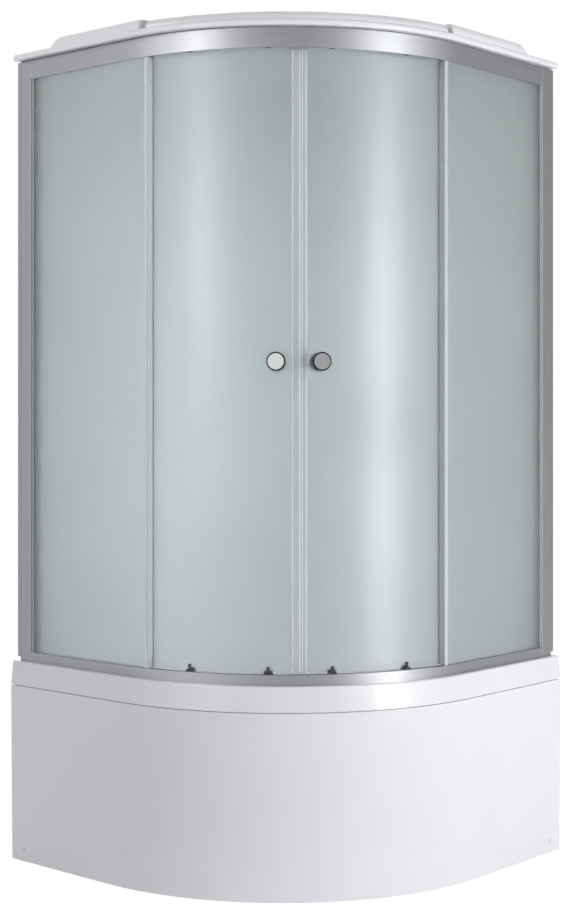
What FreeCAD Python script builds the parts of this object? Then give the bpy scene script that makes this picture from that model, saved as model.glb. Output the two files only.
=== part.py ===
import FreeCAD, Part
import math
import os

# Corner shower cabin with a quarter-round front, in millimetres.
# The room's corner is behind it: the left wall is the plane x = -cabin_width / 2 and the back wall
# the plane y = cabin_width / 2. The origin is on the floor, under the middle of the square that the
# cabin fills, and +Z is up. The cabin is the same on both sides of the diagonal through the corner,
# so the left half is modelled and mirrored.
# An inset is a distance inwards from the outer face of the aluminium frame.

Vector = FreeCAD.Vector
os.makedirs("parts", exist_ok=True)

# Cabin as a whole
cabin_width = 1000.0
cabin_height = 2150.0
front_radius = 567.0
frame_setback = 21.3
roof_rise = 120.5
overrun = 5.0
running_gap = 0.3
fit_gap = 0.1
smallest_edge = 0.000001
quarter_turn = 90.0
full_turn = 360.0
seam_angle = 45.0

# Tray
tray_height = 507.0
tray_wall = 6.0
rim_face_height = 58.5
rim_draft = 7.0
rim_round = 4.0
basin_floor_height = 130.0
basin_mouth_inset = 50.0
basin_floor_inset = 110.0
basin_mouth_wall_gap = 62.0
basin_floor_wall_gap = 110.0
basin_mouth_corner = 60.0
basin_floor_corner = 50.0
grip_bar_count = 7
grip_bar_pitch = 42.0
grip_bar_length = 240.0
grip_bar_width = 16.0
grip_bar_height = 1.5

# Drain
drain_from_walls = 270.0
drain_recess_radius = 57.0
drain_recess_depth = 5.0
drain_hole_radius = 26.0
drain_boss_wall = 6.0
drain_cover_thickness = 3.0
drain_cover_gap = 2.0
drain_slot_count = 8
drain_slot_radius = 4.0
drain_slot_ring = 16.0
trap_wall = 3.0
trap_flange_radius = 44.0
trap_flange_thickness = 4.0
trap_bowl_radius = 38.0
trap_bowl_depth = 76.0
trap_outlet_radius = 20.0
trap_outlet_length = 45.0
trap_collar_length = 5.0
trap_outlet_rise = 28.0

# Skirt
skirt_floor_gap = 5.0
skirt_thickness = 4.0
skirt_foot_radius = 636.0
skirt_lean = 3.5
skirt_seam = 2.0
skirt_tongue = 15.0
skirt_flat_length = 90.0
skirt_screw_from_wall = 43.0
skirt_screw_rise = 30.0
skirt_cap_radius = 6.0
skirt_cap_height = 2.8
skirt_screw_radius = 2.0
skirt_screw_length = 16.0
skirt_boss_radius = 8.0
skirt_strap_height = 30.0
skirt_strap_thickness = 3.0

# Tray frame and legs
tube_size = 25.0
tube_wall = 2.0
tube_from_wall = 150.0
upright_inset = 12.0
upright_foot_height = 20.0
brace_reach = 605.0
leg_stud_radius = 6.0
leg_nut_radius = 10.0
leg_nut_height = 9.0
foot_pad_radius = 25.0
foot_pad_height = 14.0
foot_pad_round = 4.0

# Posts and wall profiles
post_width = 52.0
post_depth = 36.0
post_wall = 2.0
post_round = 2.5
post_slot_depth = 16.0
wall_profile_width = 10.0
wall_profile_setback = 0.8
wall_profile_lift = 10.0
post_screw_count = 4
post_screw_margin = 60.0
post_screw_inset = 24.0
post_screw_head_radius = 5.0
post_screw_head_height = 3.5
post_screw_radius = 2.0
post_screw_length = 12.0

# Rails
rail_depth = 36.0
rail_wall = 2.0
rail_edge_round = 0.8
bottom_rail_height = 25.0
bottom_rail_back_height = 13.0
top_rail_height = 47.0
top_rail_back_drop = 25.0
slot_width = 7.0
slot_wall = 1.5
slot_wall_lift = 2.0
ledge_thickness = 2.5
rib_width = 1.5
track_inset = 14.75
top_ledge_rise = 10.0
top_rib_height = 2.5
bottom_rib_height = 2.2
stop_length = 12.0
stop_height = 16.0
stop_gap = 0.5

# Glass
glass_thickness = 5.0
fixed_glass_inset = 3.0
fixed_glass_entry = 12.0
fixed_glass_top_gap = 2.0
fixed_edge_angle = 6.0
door_glass_inset = 21.0
door_glass_lift = 1.5
door_glass_rise = 19.0
door_travel = 27.0

# Seals
seal_leg = 1.0
seal_lip_round = 0.3
post_seal_cover = 10.0
fixed_seal_cover = 9.5
tail_seal_cover = 9.0
fin_reach_gap = 0.6
fin_foot_clearance = 22.0
fin_head_clearance = 8.0
left_magnet_seal_width = 19.0
right_magnet_seal_width = 15.2
magnet_nose = 6.0
magnet_wall = 1.2
magnet_depth = 4.0
meeting_gap = 0.4

# Rollers
lead_roller_angle = 37.15
tail_roller_angle = 17.2
wheel_width = 5.0
wheel_round = 0.4
groove_mouth = 3.8
groove_floor = 2.3
top_wheel_radius = 9.5
top_wheel_rolling_radius = 7.5
bottom_wheel_radius = 7.5
bottom_wheel_rolling_radius = 6.0
axle_radius = 2.0
axle_gap = 0.05
axle_head_radius = 3.2
axle_head_thickness = 0.8
axle_head_gap = 0.2
arm_thickness = 3.0
bracket_width = 22.0
bracket_round = 2.0
bracket_lift = 2.5
bracket_foot_width = 12.0
bracket_hip = 7.0
bracket_shoulder = 16.0
bracket_tip_width = 12.0
bracket_tip_rise = 6.0
roller_screw_rise = 9.0
roller_screw_radius = 2.4
roller_screw_head_radius = 6.0
roller_screw_head_height = 2.5
glass_hole_radius = 5.0

# Foot brackets and their spring releases
saddle_width = 20.0
saddle_lift = 0.6
saddle_bell_height = 6.5
saddle_collar_radius = 4.4
saddle_edge_height = 2.0
saddle_edge_round = 0.8
saddle_flare_height = 4.4
saddle_flare_round = 2.0
saddle_outer_inset = 10.9
saddle_plate_thickness = 3.0
saddle_plate_height = 8.0
saddle_web_drop = 6.0
saddle_screw_rise = 4.6
saddle_screw_radius = 1.5
saddle_screw_head_radius = 2.6
saddle_screw_head_height = 2.0
release_stem_radius = 3.0
release_stem_inset = 16.9
release_stem_show = 16.5
release_stem_foot = 5.0
release_cap_radius = 3.8
release_cap_height = 4.5
release_cap_round = 0.6
release_arm_width = 8.0
release_arm_rise = 7.0
release_arm_toe = 3.5

# Knobs
left_knob_angle = 39.1
right_knob_angle = 40.1
knob_height = 1257.0
knob_radius = 22.0
knob_head_depth = 13.0
knob_round = 1.6
knob_neck_radius = 9.0
knob_neck_length = 12.0
knob_base_radius = 13.0
knob_base_depth = 2.5
knob_stud_radius = 3.0
knob_stud_depth = 12.0

# Back walls
panel_wall_gap = 25.0
panel_thickness = 5.0
column_width = 60.0
column_cove = 50.0

# Roof
roof_overhang = 15.3
roof_wall_gap = 3.0
roof_skin = 4.0
roof_lip_height = 19.0
roof_lip_round = 7.0
roof_under_round = 4.0
roof_step_height = 3.0
roof_step_inset = 10.0
roof_seat_inset = 40.0
roof_wall_seat = 45.0
lobe_setback = 4.0
lobe_depth = 150.0
side_lobe_height = 46.0
middle_lobe_height = 40.0
side_lobe_start = 140.0
side_lobe_end = 458.0
middle_lobe_start_angle = 6.0
lobe_round = 22.0
lobe_ramp_run = 28.0
lobe_ramp_round = 36.0
lobe_notch_round = 7.0
crown_from_walls = 440.0
crown_foot_radius = 270.0
crown_shoulder_radius = 190.0
crown_shoulder_rise = 62.0
crown_top_radius = 70.0
roof_screw_margin = 30.0
roof_screw_angle = 22.0
roof_screw_inset = 27.0
roof_screw_head_radius = 4.5
roof_screw_head_height = 3.0
roof_screw_radius = 2.2
roof_screw_length = 10.0

# Rain head
rain_head_radius = 100.0
rain_head_thickness = 9.0
rain_head_round = 3.0
rain_head_drop = 30.0
rain_pipe_radius = 10.5
rain_nozzle_rings = 4
rain_nozzles_per_ring = 6
rain_nozzle_radius = 1.5
rain_nozzle_pitch = 22.0
rain_nozzle_depth = 1.0

# Mixer
mixer_along_wall = 430.0
mixer_height = 1130.0
mixer_plate_radius = 75.0
mixer_plate_thickness = 7.0
mixer_plate_round = 3.0
mixer_barrel_radius = 26.0
mixer_barrel_length = 30.0
mixer_inlet_spacing = 80.0
mixer_inlet_radius = 10.48
mixer_inlet_length = 16.0
mixer_inlet_clearance = 1.0
mixer_neck_radius = 9.0
mixer_cap_radius = 24.0
mixer_cap_length = 30.0
mixer_cap_round = 5.0
mixer_spigot_radius = 10.0
mixer_spigot_length = 8.0
lever_width = 15.0
lever_thickness = 8.0
lever_length = 118.0
lever_root_radius = 8.0
lever_slot_clearance = 0.5
lever_pivot_from_face = 12.0
lever_pin_radius = 2.5
lever_tip_width = 21.0

# Places that follow from the sizes
up = Vector(0, 0, 1)
inwards = Vector(0, 1, 0)
outwards = Vector(0, -1, 0)
half_width = cabin_width / 2
frame_top = cabin_height - roof_rise
front_y = frame_setback - half_width
straight_run = cabin_width - frame_setback - front_radius
arc_centre = Vector(straight_run - half_width, half_width - straight_run, 0)
rim_inset = -frame_setback
rim_seam_height = tray_height - rim_face_height
bottom_rail_top = tray_height + bottom_rail_height
top_rail_low = frame_top - top_rail_height
slot_back = rail_wall + slot_width
track_edge = slot_back + slot_wall
rib_outer_radius = front_radius - track_inset + rib_width / 2
rib_inner_radius = rib_outer_radius - rib_width
wheel_outer_inset = track_inset - wheel_width / 2
wheel_inner_inset = wheel_outer_inset + wheel_width
arm_outer_inset = wheel_inner_inset + running_gap
arm_inner_inset = arm_outer_inset + arm_thickness
top_ledge_top = top_rail_low + top_ledge_rise + ledge_thickness
top_wheel_height = top_ledge_top + top_rib_height + running_gap + top_wheel_rolling_radius
bottom_rib_low = bottom_rail_top - ledge_thickness - bottom_rib_height
bottom_wheel_height = bottom_rib_low - running_gap - bottom_wheel_rolling_radius
door_outer_radius = front_radius - door_glass_inset
door_inner_radius = door_outer_radius - glass_thickness
door_back_inset = door_glass_inset + glass_thickness
door_low = bottom_rail_top + door_glass_lift
door_high = top_rail_low + door_glass_rise
fixed_back_inset = fixed_glass_inset + glass_thickness
panel_inner_x = panel_wall_gap + panel_thickness - half_width
drain_centre = Vector(drain_from_walls - half_width, half_width - drain_from_walls, 0)
drain_ledge_height = basin_floor_height - drain_recess_depth
drain_boss_low = drain_ledge_height - drain_boss_wall


def arc_degrees(length, radius=door_outer_radius):
    """Angle that a length takes up on the door's curve."""
    return math.degrees(length / radius)


fin_angle = fixed_edge_angle + arc_degrees(fit_gap)
tail_fin_angle = fin_angle - arc_degrees(stop_gap)
tail_angle = tail_fin_angle - arc_degrees(tail_seal_cover)
lead_angle = seam_angle - arc_degrees(magnet_nose + meeting_gap)
stop_angle = tail_roller_angle - door_travel - arc_degrees(top_wheel_radius + stop_gap)
track_start_angle = stop_angle - arc_degrees(stop_length + overrun)


# Ways of placing and making solids
def mirrored(shape):
    """The same piece on the other side of the cabin's diagonal."""
    return shape.mirror(Vector(0, 0, 0), Vector(1, 1, 0))


def both_sides(shape):
    return Part.makeCompound([shape, mirrored(shape)])


def from_wall(distance):
    """Place on X at a distance from the left wall."""
    return distance - half_width


def turned(shape, angle):
    """A copy carried round the front's curve by an angle from the start of the curve."""
    copy = shape.copy()
    copy.rotate(arc_centre, up, angle)
    return copy


def on_plan(height):
    return lambda x, y: Vector(x, y, height)


def on_section(inset, height):
    """Place in the upright plane where the front's curve starts."""
    return Vector(arc_centre.x, front_y + inset, height)


def rounded_wire(corners, place):
    """Closed wire through corners (a, b, radius), each rounded by its radius."""
    flat = [Vector(a, b, 0) for a, b, radius in corners]
    count = len(corners)
    arrive = []
    crown = []
    leave = []
    for index, (a, b, radius) in enumerate(corners):
        back = (flat[index - 1] - flat[index]).normalize()
        ahead = (flat[(index + 1) % count] - flat[index]).normalize()
        half_angle = back.getAngle(ahead) / 2
        middle = (back + ahead).normalize()
        arrive.append(flat[index] + back * (radius / math.tan(half_angle)))
        leave.append(flat[index] + ahead * (radius / math.tan(half_angle)))
        crown.append(flat[index] + middle * (radius / math.sin(half_angle) - radius))
    edges = []
    for index in range(count):
        bend = [place(spot.x, spot.y) for spot in (arrive[index], crown[index], leave[index])]
        if corners[index][2] > 0:
            edges.append(Part.Arc(*bend).toShape())
        following = arrive[(index + 1) % count]
        ahead = place(following.x, following.y)
        if bend[2].distanceToPoint(ahead) > smallest_edge:
            edges.append(Part.LineSegment(bend[2], ahead).toShape())
    return Part.Wire(edges)


def plan_solid(corners, low, high):
    return Part.Face(rounded_wire(corners, on_plan(low))).extrude(up * (high - low))


def plan_loft(low_corners, low, high_corners, high):
    wires = [rounded_wire(low_corners, on_plan(low)), rounded_wire(high_corners, on_plan(high))]
    return Part.makeLoft(wires, True, True)


def box(x_low, x_high, y_low, y_high, z_low, z_high):
    return Part.makeBox(x_high - x_low, y_high - y_low, z_high - z_low, Vector(x_low, y_low, z_low))


def cabin_outline(inset, wall_gap, corner=0):
    """Plan of the cabin at an inset from the frame's face and a gap from both walls."""
    low = wall_gap - half_width
    front = front_y + inset
    return [(low, -low, corner), (low, front, corner), (-front, front, front_radius - inset),
            (-front, -low, corner)]


def front_outline(inset, radius, beyond):
    """Plan of the cabin from behind both walls to an inset, with its own radius at the front."""
    far = half_width + beyond
    front = front_y + inset
    return [(-far, far, 0), (-far, front, 0), (-front, front, radius), (-front, far, 0)]


def front_band(inset, thickness, radius, end_gap):
    """Plan of a sheet along the front, up to a gap from both walls; radius is its outer curve."""
    outer = front_y + inset
    inner = outer + thickness
    end = half_width - end_gap
    return [(-end, outer, 0), (-outer, outer, radius), (-outer, end, 0), (-inner, end, 0),
            (-inner, inner, radius - thickness), (-end, inner, 0)]


def ring_sector(inner, outer, start, end, low, high):
    """Piece of a ring about the front's centre, between two angles and two heights."""
    corners = [(front_radius - outer, low, 0), (front_radius - inner, low, 0),
               (front_radius - inner, high, 0), (front_radius - outer, high, 0)]
    swept = Part.Face(rounded_wire(corners, on_section)).revolve(arc_centre, up, end - start)
    return turned(swept, start)


def along_frame(section):
    """A section (inset, height) carried along the front from post to post."""
    face = Part.Face(rounded_wire(section, on_section))
    left = face.extrude(Vector(post_width - straight_run, 0, 0))
    bend = face.revolve(arc_centre, up, quarter_turn)
    return left.fuse([bend, mirrored(left)]).removeSplitter()


def ray_plate(corners, outer_inset, inner_inset):
    """Plate square to a ray at the start of the curve; corners are (along, height, radius)."""
    wire = rounded_wire(corners, lambda along,
                        height: Vector(arc_centre.x + along, front_y + outer_inset, height))
    return Part.Face(wire).extrude(inwards * (inner_inset - outer_inset))


def ray_box(width, outer_inset, inner_inset, low, high):
    corners = [(-width / 2, low, 0), (width / 2, low, 0), (width / 2, high, 0), (-width / 2, high, 0)]
    return ray_plate(corners, outer_inset, inner_inset)


def ray_cylinder(radius, outer_inset, inner_inset, height):
    return Part.makeCylinder(radius, inner_inset - outer_inset, on_section(outer_inset, height), inwards)


def ray_turning(profile, height):
    """Turned piece on a ray at the start of the curve; profile corners are (radius, inset, round)."""
    place = lambda radius, inset: Vector(arc_centre.x + radius, front_y + inset, height)
    return Part.Face(rounded_wire(profile, place)).revolve(on_section(0, height), inwards, full_turn)


def upright_turning(profile, centre):
    """Turned piece about an upright line; profile corners are (radius, height, round)."""
    place = lambda radius, height: Vector(centre.x + radius, centre.y, height)
    return Part.Face(rounded_wire(profile, place)).revolve(centre, up, full_turn)


def level_edges(shape, height, wanted):
    """Edges that lie level at a height and whose middle is wanted."""
    found = []
    for edge in shape.Edges:
        bounds = edge.BoundBox
        level = abs(bounds.ZMin - height) < smallest_edge and abs(bounds.ZMax - height) < smallest_edge
        if level and wanted(edge.valueAt((edge.FirstParameter + edge.LastParameter) / 2)):
            found.append(edge)
    return found


def level_circle(shape, radius, y):
    """Full circles of a radius that lie square to Y at a place."""
    found = []
    for edge in shape.Edges:
        if hasattr(edge.Curve, "Radius") and abs(edge.Curve.Radius - radius) < smallest_edge:
            if abs(edge.BoundBox.YMin - y) < smallest_edge and edge.BoundBox.YLength < smallest_edge:
                found.append(edge)
    return found


def on_front(spot):
    """True for a place away from both walls."""
    from_left = spot.x + half_width
    from_back = half_width - spot.y
    return min(from_left, from_back) > roof_wall_gap + smallest_edge


def pan_screw(seat, into, head_radius, head_height, shank_radius, shank_length):
    """Screw whose head sits on a seat and whose shank runs into the work."""
    head = Part.makeCylinder(head_radius, head_height, seat, into * -1)
    return head.fuse(Part.makeCylinder(shank_radius, shank_length, seat, into))


# Tray, drain and skirt
def basin(grow, low):
    """Room of the basin, or with grow above zero the same room with its wall."""
    floor_plan = cabin_outline(basin_floor_inset - grow, basin_floor_wall_gap - grow,
                               basin_floor_corner + grow)
    mouth_plan = cabin_outline(basin_mouth_inset - grow, basin_mouth_wall_gap - grow,
                               basin_mouth_corner + grow)
    return plan_loft(floor_plan, low, mouth_plan, tray_height)


def make_tray():
    outer_low = cabin_outline(rim_inset, 0)
    outer_high = cabin_outline(rim_inset + rim_draft, 0)
    rim = plan_loft(outer_low, rim_seam_height, outer_high, tray_height)
    rim = rim.makeFillet(rim_round, level_edges(rim, tray_height, on_front))
    under_low = cabin_outline(rim_inset + tray_wall, tray_wall)
    under_high = cabin_outline(rim_inset + rim_draft + tray_wall, tray_wall)
    rim = rim.cut(plan_loft(under_low, rim_seam_height, under_high, tray_height - tray_wall))
    boss = Part.makeCylinder(drain_recess_radius + drain_boss_wall, basin_floor_height - drain_boss_low,
                             drain_centre + up * drain_boss_low)
    tray = rim.fuse([basin(tray_wall, basin_floor_height - tray_wall), boss])
    tray = tray.cut(basin(0, basin_floor_height))
    recess = Part.makeCylinder(drain_recess_radius, drain_recess_depth + overrun,
                               drain_centre + up * drain_ledge_height)
    hole = Part.makeCylinder(drain_hole_radius, drain_boss_wall + overrun + overrun,
                             drain_centre + up * (drain_boss_low - overrun))
    tray = tray.cut(recess.fuse(hole))
    bars = []
    for index in range(grip_bar_count):
        across = (index - (grip_bar_count - 1) / 2) * grip_bar_pitch
        corners = [(-grip_bar_length / 2, across - grip_bar_width / 2, grip_bar_width / 2 - fit_gap),
                   (grip_bar_length / 2, across - grip_bar_width / 2, grip_bar_width / 2 - fit_gap),
                   (grip_bar_length / 2, across + grip_bar_width / 2, grip_bar_width / 2 - fit_gap),
                   (-grip_bar_length / 2, across + grip_bar_width / 2, grip_bar_width / 2 - fit_gap)]
        bar = plan_solid(corners, basin_floor_height - fit_gap, basin_floor_height + grip_bar_height)
        bar.rotate(Vector(0, 0, 0), up, seam_angle)
        bar.translate(Vector(drain_recess_radius, -drain_recess_radius, 0))
        bars.append(bar)
    return tray.fuse(bars).removeSplitter()


def make_drain_cover():
    radius = drain_recess_radius - drain_cover_gap
    cover = Part.makeCylinder(radius, drain_cover_thickness, drain_centre + up * drain_ledge_height)
    for index in range(drain_slot_count):
        spot = drain_centre + Vector(drain_slot_ring, 0, drain_ledge_height - overrun)
        slot = Part.makeCylinder(drain_slot_radius, drain_cover_thickness + overrun + overrun, spot)
        slot.rotate(drain_centre, up, full_turn * index / drain_slot_count)
        cover = cover.cut(slot)
    return cover


def make_drain_trap():
    flange_low = drain_boss_low - trap_flange_thickness
    bowl_low = flange_low - trap_bowl_depth
    neck_radius = drain_hole_radius - fit_gap
    outside = [(0, bowl_low, 0), (trap_bowl_radius, bowl_low, trap_wall), (trap_bowl_radius, flange_low, 0),
               (trap_flange_radius, flange_low, 0), (trap_flange_radius, drain_boss_low, 0),
               (neck_radius, drain_boss_low, 0), (neck_radius, drain_ledge_height, 0),
               (0, drain_ledge_height, 0)]
    inside = [(0, bowl_low + trap_wall, 0), (trap_bowl_radius - trap_wall, bowl_low + trap_wall, 0),
              (trap_bowl_radius - trap_wall, flange_low, 0), (neck_radius - trap_wall, flange_low, 0),
              (neck_radius - trap_wall, drain_ledge_height + overrun, 0),
              (0, drain_ledge_height + overrun, 0)]
    to_wall = Vector(-1, 0, 0)
    outlet_start = drain_centre + up * (bowl_low + trap_outlet_rise)
    reach = trap_bowl_radius + trap_outlet_length
    outlet = Part.makeCylinder(trap_outlet_radius, reach, outlet_start, to_wall)
    collar = Part.makeCylinder(trap_outlet_radius + trap_wall, trap_bowl_radius + trap_collar_length,
                               outlet_start, to_wall)
    bore = Part.makeCylinder(trap_outlet_radius - trap_wall, reach + overrun, outlet_start, to_wall)
    bowl = upright_turning(outside, drain_centre).fuse([outlet, collar])
    return bowl.cut(upright_turning(inside, drain_centre).fuse(bore))


def skirt_inset_at(height):
    """Inset of the skirt's outer face along its straight ends, at a height above the floor."""
    leaning = rim_seam_height - skirt_seam - skirt_floor_gap
    return rim_inset + skirt_lean * (rim_seam_height - skirt_seam - height) / leaning


skirt_screw_height = skirt_floor_gap + skirt_screw_rise
skirt_screw_x = skirt_screw_from_wall - half_width
skirt_face_y = front_y + skirt_inset_at(skirt_screw_height)


def make_skirt():
    high = rim_seam_height - skirt_seam
    foot_inset = rim_inset + skirt_lean
    head_radius = front_radius - rim_inset
    outside = plan_loft(front_outline(foot_inset, skirt_foot_radius, 0), skirt_floor_gap,
                        front_outline(rim_inset, head_radius, 0), high)
    inside = plan_loft(front_outline(foot_inset + skirt_thickness, skirt_foot_radius - skirt_thickness,
                                     overrun), skirt_floor_gap,
                       front_outline(rim_inset + skirt_thickness, head_radius - skirt_thickness, overrun),
                       high)
    flat_end = from_wall(skirt_flat_length)
    flat_room = box(from_wall(-overrun), flat_end, front_y + rim_inset - overrun,
                    front_y + foot_inset + skirt_thickness + overrun, skirt_floor_gap - overrun,
                    high + overrun)
    bend = outside.cut(inside).cut(both_sides(flat_room))
    section = [(foot_inset, skirt_floor_gap, 0), (foot_inset + skirt_thickness, skirt_floor_gap, 0),
               (rim_inset + skirt_thickness, high, 0), (rim_inset, high, 0)]
    place = lambda inset, height: Vector(-half_width, front_y + inset, height)
    flat = Part.Face(rounded_wire(section, place)).extrude(Vector(skirt_flat_length, 0, 0))
    flat = flat.cut(Part.makeCylinder(skirt_screw_radius + fit_gap, skirt_thickness + overrun + overrun,
                                      Vector(skirt_screw_x, skirt_face_y - overrun, skirt_screw_height),
                                      inwards))
    tongue_inset = rim_inset + tray_wall + rim_draft * skirt_tongue / rim_face_height + running_gap
    ledge_inset = rim_inset + skirt_thickness / 2
    ledge_depth = tongue_inset + skirt_thickness - ledge_inset
    end_gap = tray_wall + running_gap
    ledge = plan_solid(front_band(ledge_inset, ledge_depth, front_radius - ledge_inset, end_gap),
                       high - skirt_thickness, high)
    tongue_plan = front_band(tongue_inset, skirt_thickness, front_radius - tongue_inset, end_gap)
    tongue = plan_solid(tongue_plan, high - skirt_thickness, rim_seam_height + skirt_tongue)
    return bend.fuse([flat, mirrored(flat), ledge, tongue]).removeSplitter()


def make_skirt_screws():
    seat = Vector(skirt_screw_x, skirt_face_y - running_gap, skirt_screw_height)
    screw = pan_screw(seat, inwards, skirt_cap_radius, skirt_cap_height, skirt_screw_radius,
                      skirt_screw_length)
    rim_edges = level_circle(screw, skirt_cap_radius, seat.y - skirt_cap_height)
    return both_sides(screw.makeFillet(skirt_cap_height / 2, rim_edges))


# Tray frame and its levelling legs
tube_x = tube_from_wall - half_width
tube_high = basin_floor_height - tray_wall
tube_low = tube_high - tube_size
upright_y = front_y + upright_inset + tube_size / 2
foot_corner_offset = cabin_width - skirt_lean - skirt_foot_radius
skirt_foot_middle = math.hypot(foot_corner_offset, foot_corner_offset) + skirt_foot_radius
frame_middle = math.hypot(straight_run, straight_run) + front_radius
middle_upright_inset = frame_middle - skirt_foot_middle + skirt_thickness + running_gap + tube_wall
middle_upright_radius = front_radius - middle_upright_inset - tube_size / 2


def middle_place(radius, height):
    """Place on the cabin's diagonal at a radius from the front's centre."""
    ray = Vector(math.sin(math.radians(seam_angle)), -math.cos(math.radians(seam_angle)), 0)
    return arc_centre + ray * radius + up * height


def tube(start, end, size):
    """Square bar between two places on its middle line, square to the floor."""
    run = end - start
    if abs(run.z) > 0:
        bar = box(start.x - size / 2, start.x + size / 2, start.y - size / 2, start.y + size / 2, start.z,
                  end.z)
        return bar
    bar = box(0, run.Length, -size / 2, size / 2, -size / 2, size / 2)
    bar.rotate(Vector(0, 0, 0), up, math.degrees(math.atan2(run.y, run.x)))
    bar.translate(start)
    return bar


def frame_runs(inset):
    """Middle lines of the frame's tubes, drawn in from their ends by an inset."""
    level = tube_high - tube_size / 2
    side_start = Vector(tube_x, upright_y - tube_size / 2 + inset, level)
    side_end = Vector(tube_x, -tube_x + tube_size / 2 - inset, level)
    brace_start = Vector(tube_x, half_width - brace_reach, level)
    brace_end = Vector(-brace_start.y, -brace_start.x, level)
    spine_start = (brace_start + brace_end) / 2
    spine_end = middle_place(middle_upright_radius + tube_size / 2 - inset, level)
    return (side_start, side_end), (brace_start, brace_end), (spine_start, spine_end)


def upright_bar(size, inset):
    low = Vector(tube_x, upright_y, upright_foot_height + inset)
    return tube(low, Vector(tube_x, upright_y, tray_height - tray_wall - inset), size)


def middle_upright_bar(size, inset):
    bar = tube(Vector(0, 0, upright_foot_height + inset), Vector(0, 0, tray_height - tray_wall - inset),
               size)
    bar.rotate(Vector(0, 0, 0), up, seam_angle)
    bar.translate(middle_place(middle_upright_radius, 0))
    return bar


def frame_bars(size, inset):
    side, brace, spine = frame_runs(inset)
    side_bar = tube(side[0], side[1], size)
    upright = upright_bar(size, inset)
    bars = [mirrored(side_bar), upright, mirrored(upright), tube(brace[0], brace[1], size),
            tube(spine[0], spine[1], size), middle_upright_bar(size, inset)]
    return side_bar.fuse(bars)


def leg_places():
    upright_gap = tube_size + leg_nut_radius
    side = Vector(tube_x, upright_y + upright_gap, 0)
    corner = Vector(tube_x, -tube_x, 0)
    return [side, Vector(-side.y, -side.x, 0), corner, middle_place(middle_upright_radius - upright_gap, 0)]


def make_tray_frame():
    frame = frame_bars(tube_size, 0).cut(frame_bars(tube_size - tube_wall - tube_wall, tube_wall))
    for place in leg_places():
        hole_depth = tube_wall + overrun
        frame = frame.cut(Part.makeCylinder(leg_stud_radius + fit_gap, hole_depth,
                                            place + up * (tube_low + tube_wall - hole_depth)))
    return frame.removeSplitter()


def make_leg_studs():
    studs = []
    for place in leg_places():
        stud_length = tube_low + tube_size / 2 - foot_pad_height
        studs.append(Part.makeCylinder(leg_stud_radius, stud_length, place + up * foot_pad_height))
        nut = Part.makeCylinder(leg_nut_radius, leg_nut_height, place + up * (tube_low - leg_nut_height))
        studs.append(nut.cut(Part.makeCylinder(leg_stud_radius + fit_gap, tube_low, place)))
    return Part.makeCompound(studs)


def make_foot_pads():
    profile = [(0, 0, 0), (foot_pad_radius, 0, 0), (foot_pad_radius, foot_pad_height, foot_pad_round),
               (0, foot_pad_height, 0)]
    return Part.makeCompound([upright_turning(profile, place) for place in leg_places()])


def make_skirt_brackets():
    strap_low = skirt_screw_height - skirt_strap_height / 2
    strap_face = upright_y - tube_size / 2
    strap = box(skirt_screw_x - skirt_strap_height / 2, tube_x + tube_size / 2,
                strap_face - skirt_strap_thickness, strap_face, strap_low, strap_low + skirt_strap_height)
    boss_start = skirt_face_y + skirt_thickness + running_gap
    boss = Part.makeCylinder(skirt_boss_radius, strap_face - boss_start,
                             Vector(skirt_screw_x, boss_start, skirt_screw_height), inwards)
    hole = Part.makeCylinder(skirt_screw_radius + fit_gap, strap_face - boss_start + overrun,
                             Vector(skirt_screw_x, boss_start, skirt_screw_height), inwards)
    return both_sides(strap.fuse(boss).cut(hole))


# Posts, rails and fixed glass
seal_outer_inset = fixed_glass_inset - fit_gap - seal_leg
seal_inner_inset = fixed_back_inset + fit_gap + seal_leg
post_slot_outer = seal_outer_inset - fit_gap
post_slot_inner = seal_inner_inset + fit_gap


def make_post():
    back = front_y + post_depth
    start = from_wall(wall_profile_width)
    end = from_wall(post_width)
    slot_end = end - post_slot_depth
    slot_low = front_y + post_slot_outer
    slot_high = front_y + post_slot_inner
    outline = [(start, front_y, post_round), (end, front_y, post_slot_outer / 2), (end, slot_low, 0),
               (slot_end, slot_low, 0), (slot_end, slot_high, 0), (end, slot_high, 0),
               (end, back, post_round), (start, back, post_round)]
    chamber = [(start + post_wall, slot_high + post_wall, 0), (end - post_wall, slot_high + post_wall, 0),
               (end - post_wall, back - post_wall, 0), (start + post_wall, back - post_wall, 0)]
    front_chamber = [(start + post_wall, front_y + post_wall, 0),
                     (slot_end - post_wall, front_y + post_wall, 0), (slot_end - post_wall, slot_high, 0),
                     (start + post_wall, slot_high, 0)]
    post = plan_solid(outline, tray_height, frame_top)
    for room in (chamber, front_chamber):
        post = post.cut(plan_solid(room, tray_height - overrun, frame_top + overrun))
    for height in post_screw_heights():
        reach = post_wall + overrun + overrun
        spot = Vector(end + overrun, front_y + post_screw_inset, height)
        post = post.cut(Part.makeCylinder(post_screw_radius + fit_gap, reach, spot, Vector(-1, 0, 0)))
    return post


def post_screw_heights():
    low = tray_height + post_screw_margin
    step = (frame_top - post_screw_margin - low) / (post_screw_count - 1)
    return [low + step * index for index in range(post_screw_count)]


def make_post_screws():
    seat_x = from_wall(post_width)
    screws = []
    for height in post_screw_heights():
        seat = Vector(seat_x, front_y + post_screw_inset, height)
        screw = pan_screw(seat, Vector(-1, 0, 0), post_screw_head_radius, post_screw_head_height,
                          post_screw_radius, post_screw_length)
        screws += [screw, mirrored(screw)]
    return screws


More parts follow.
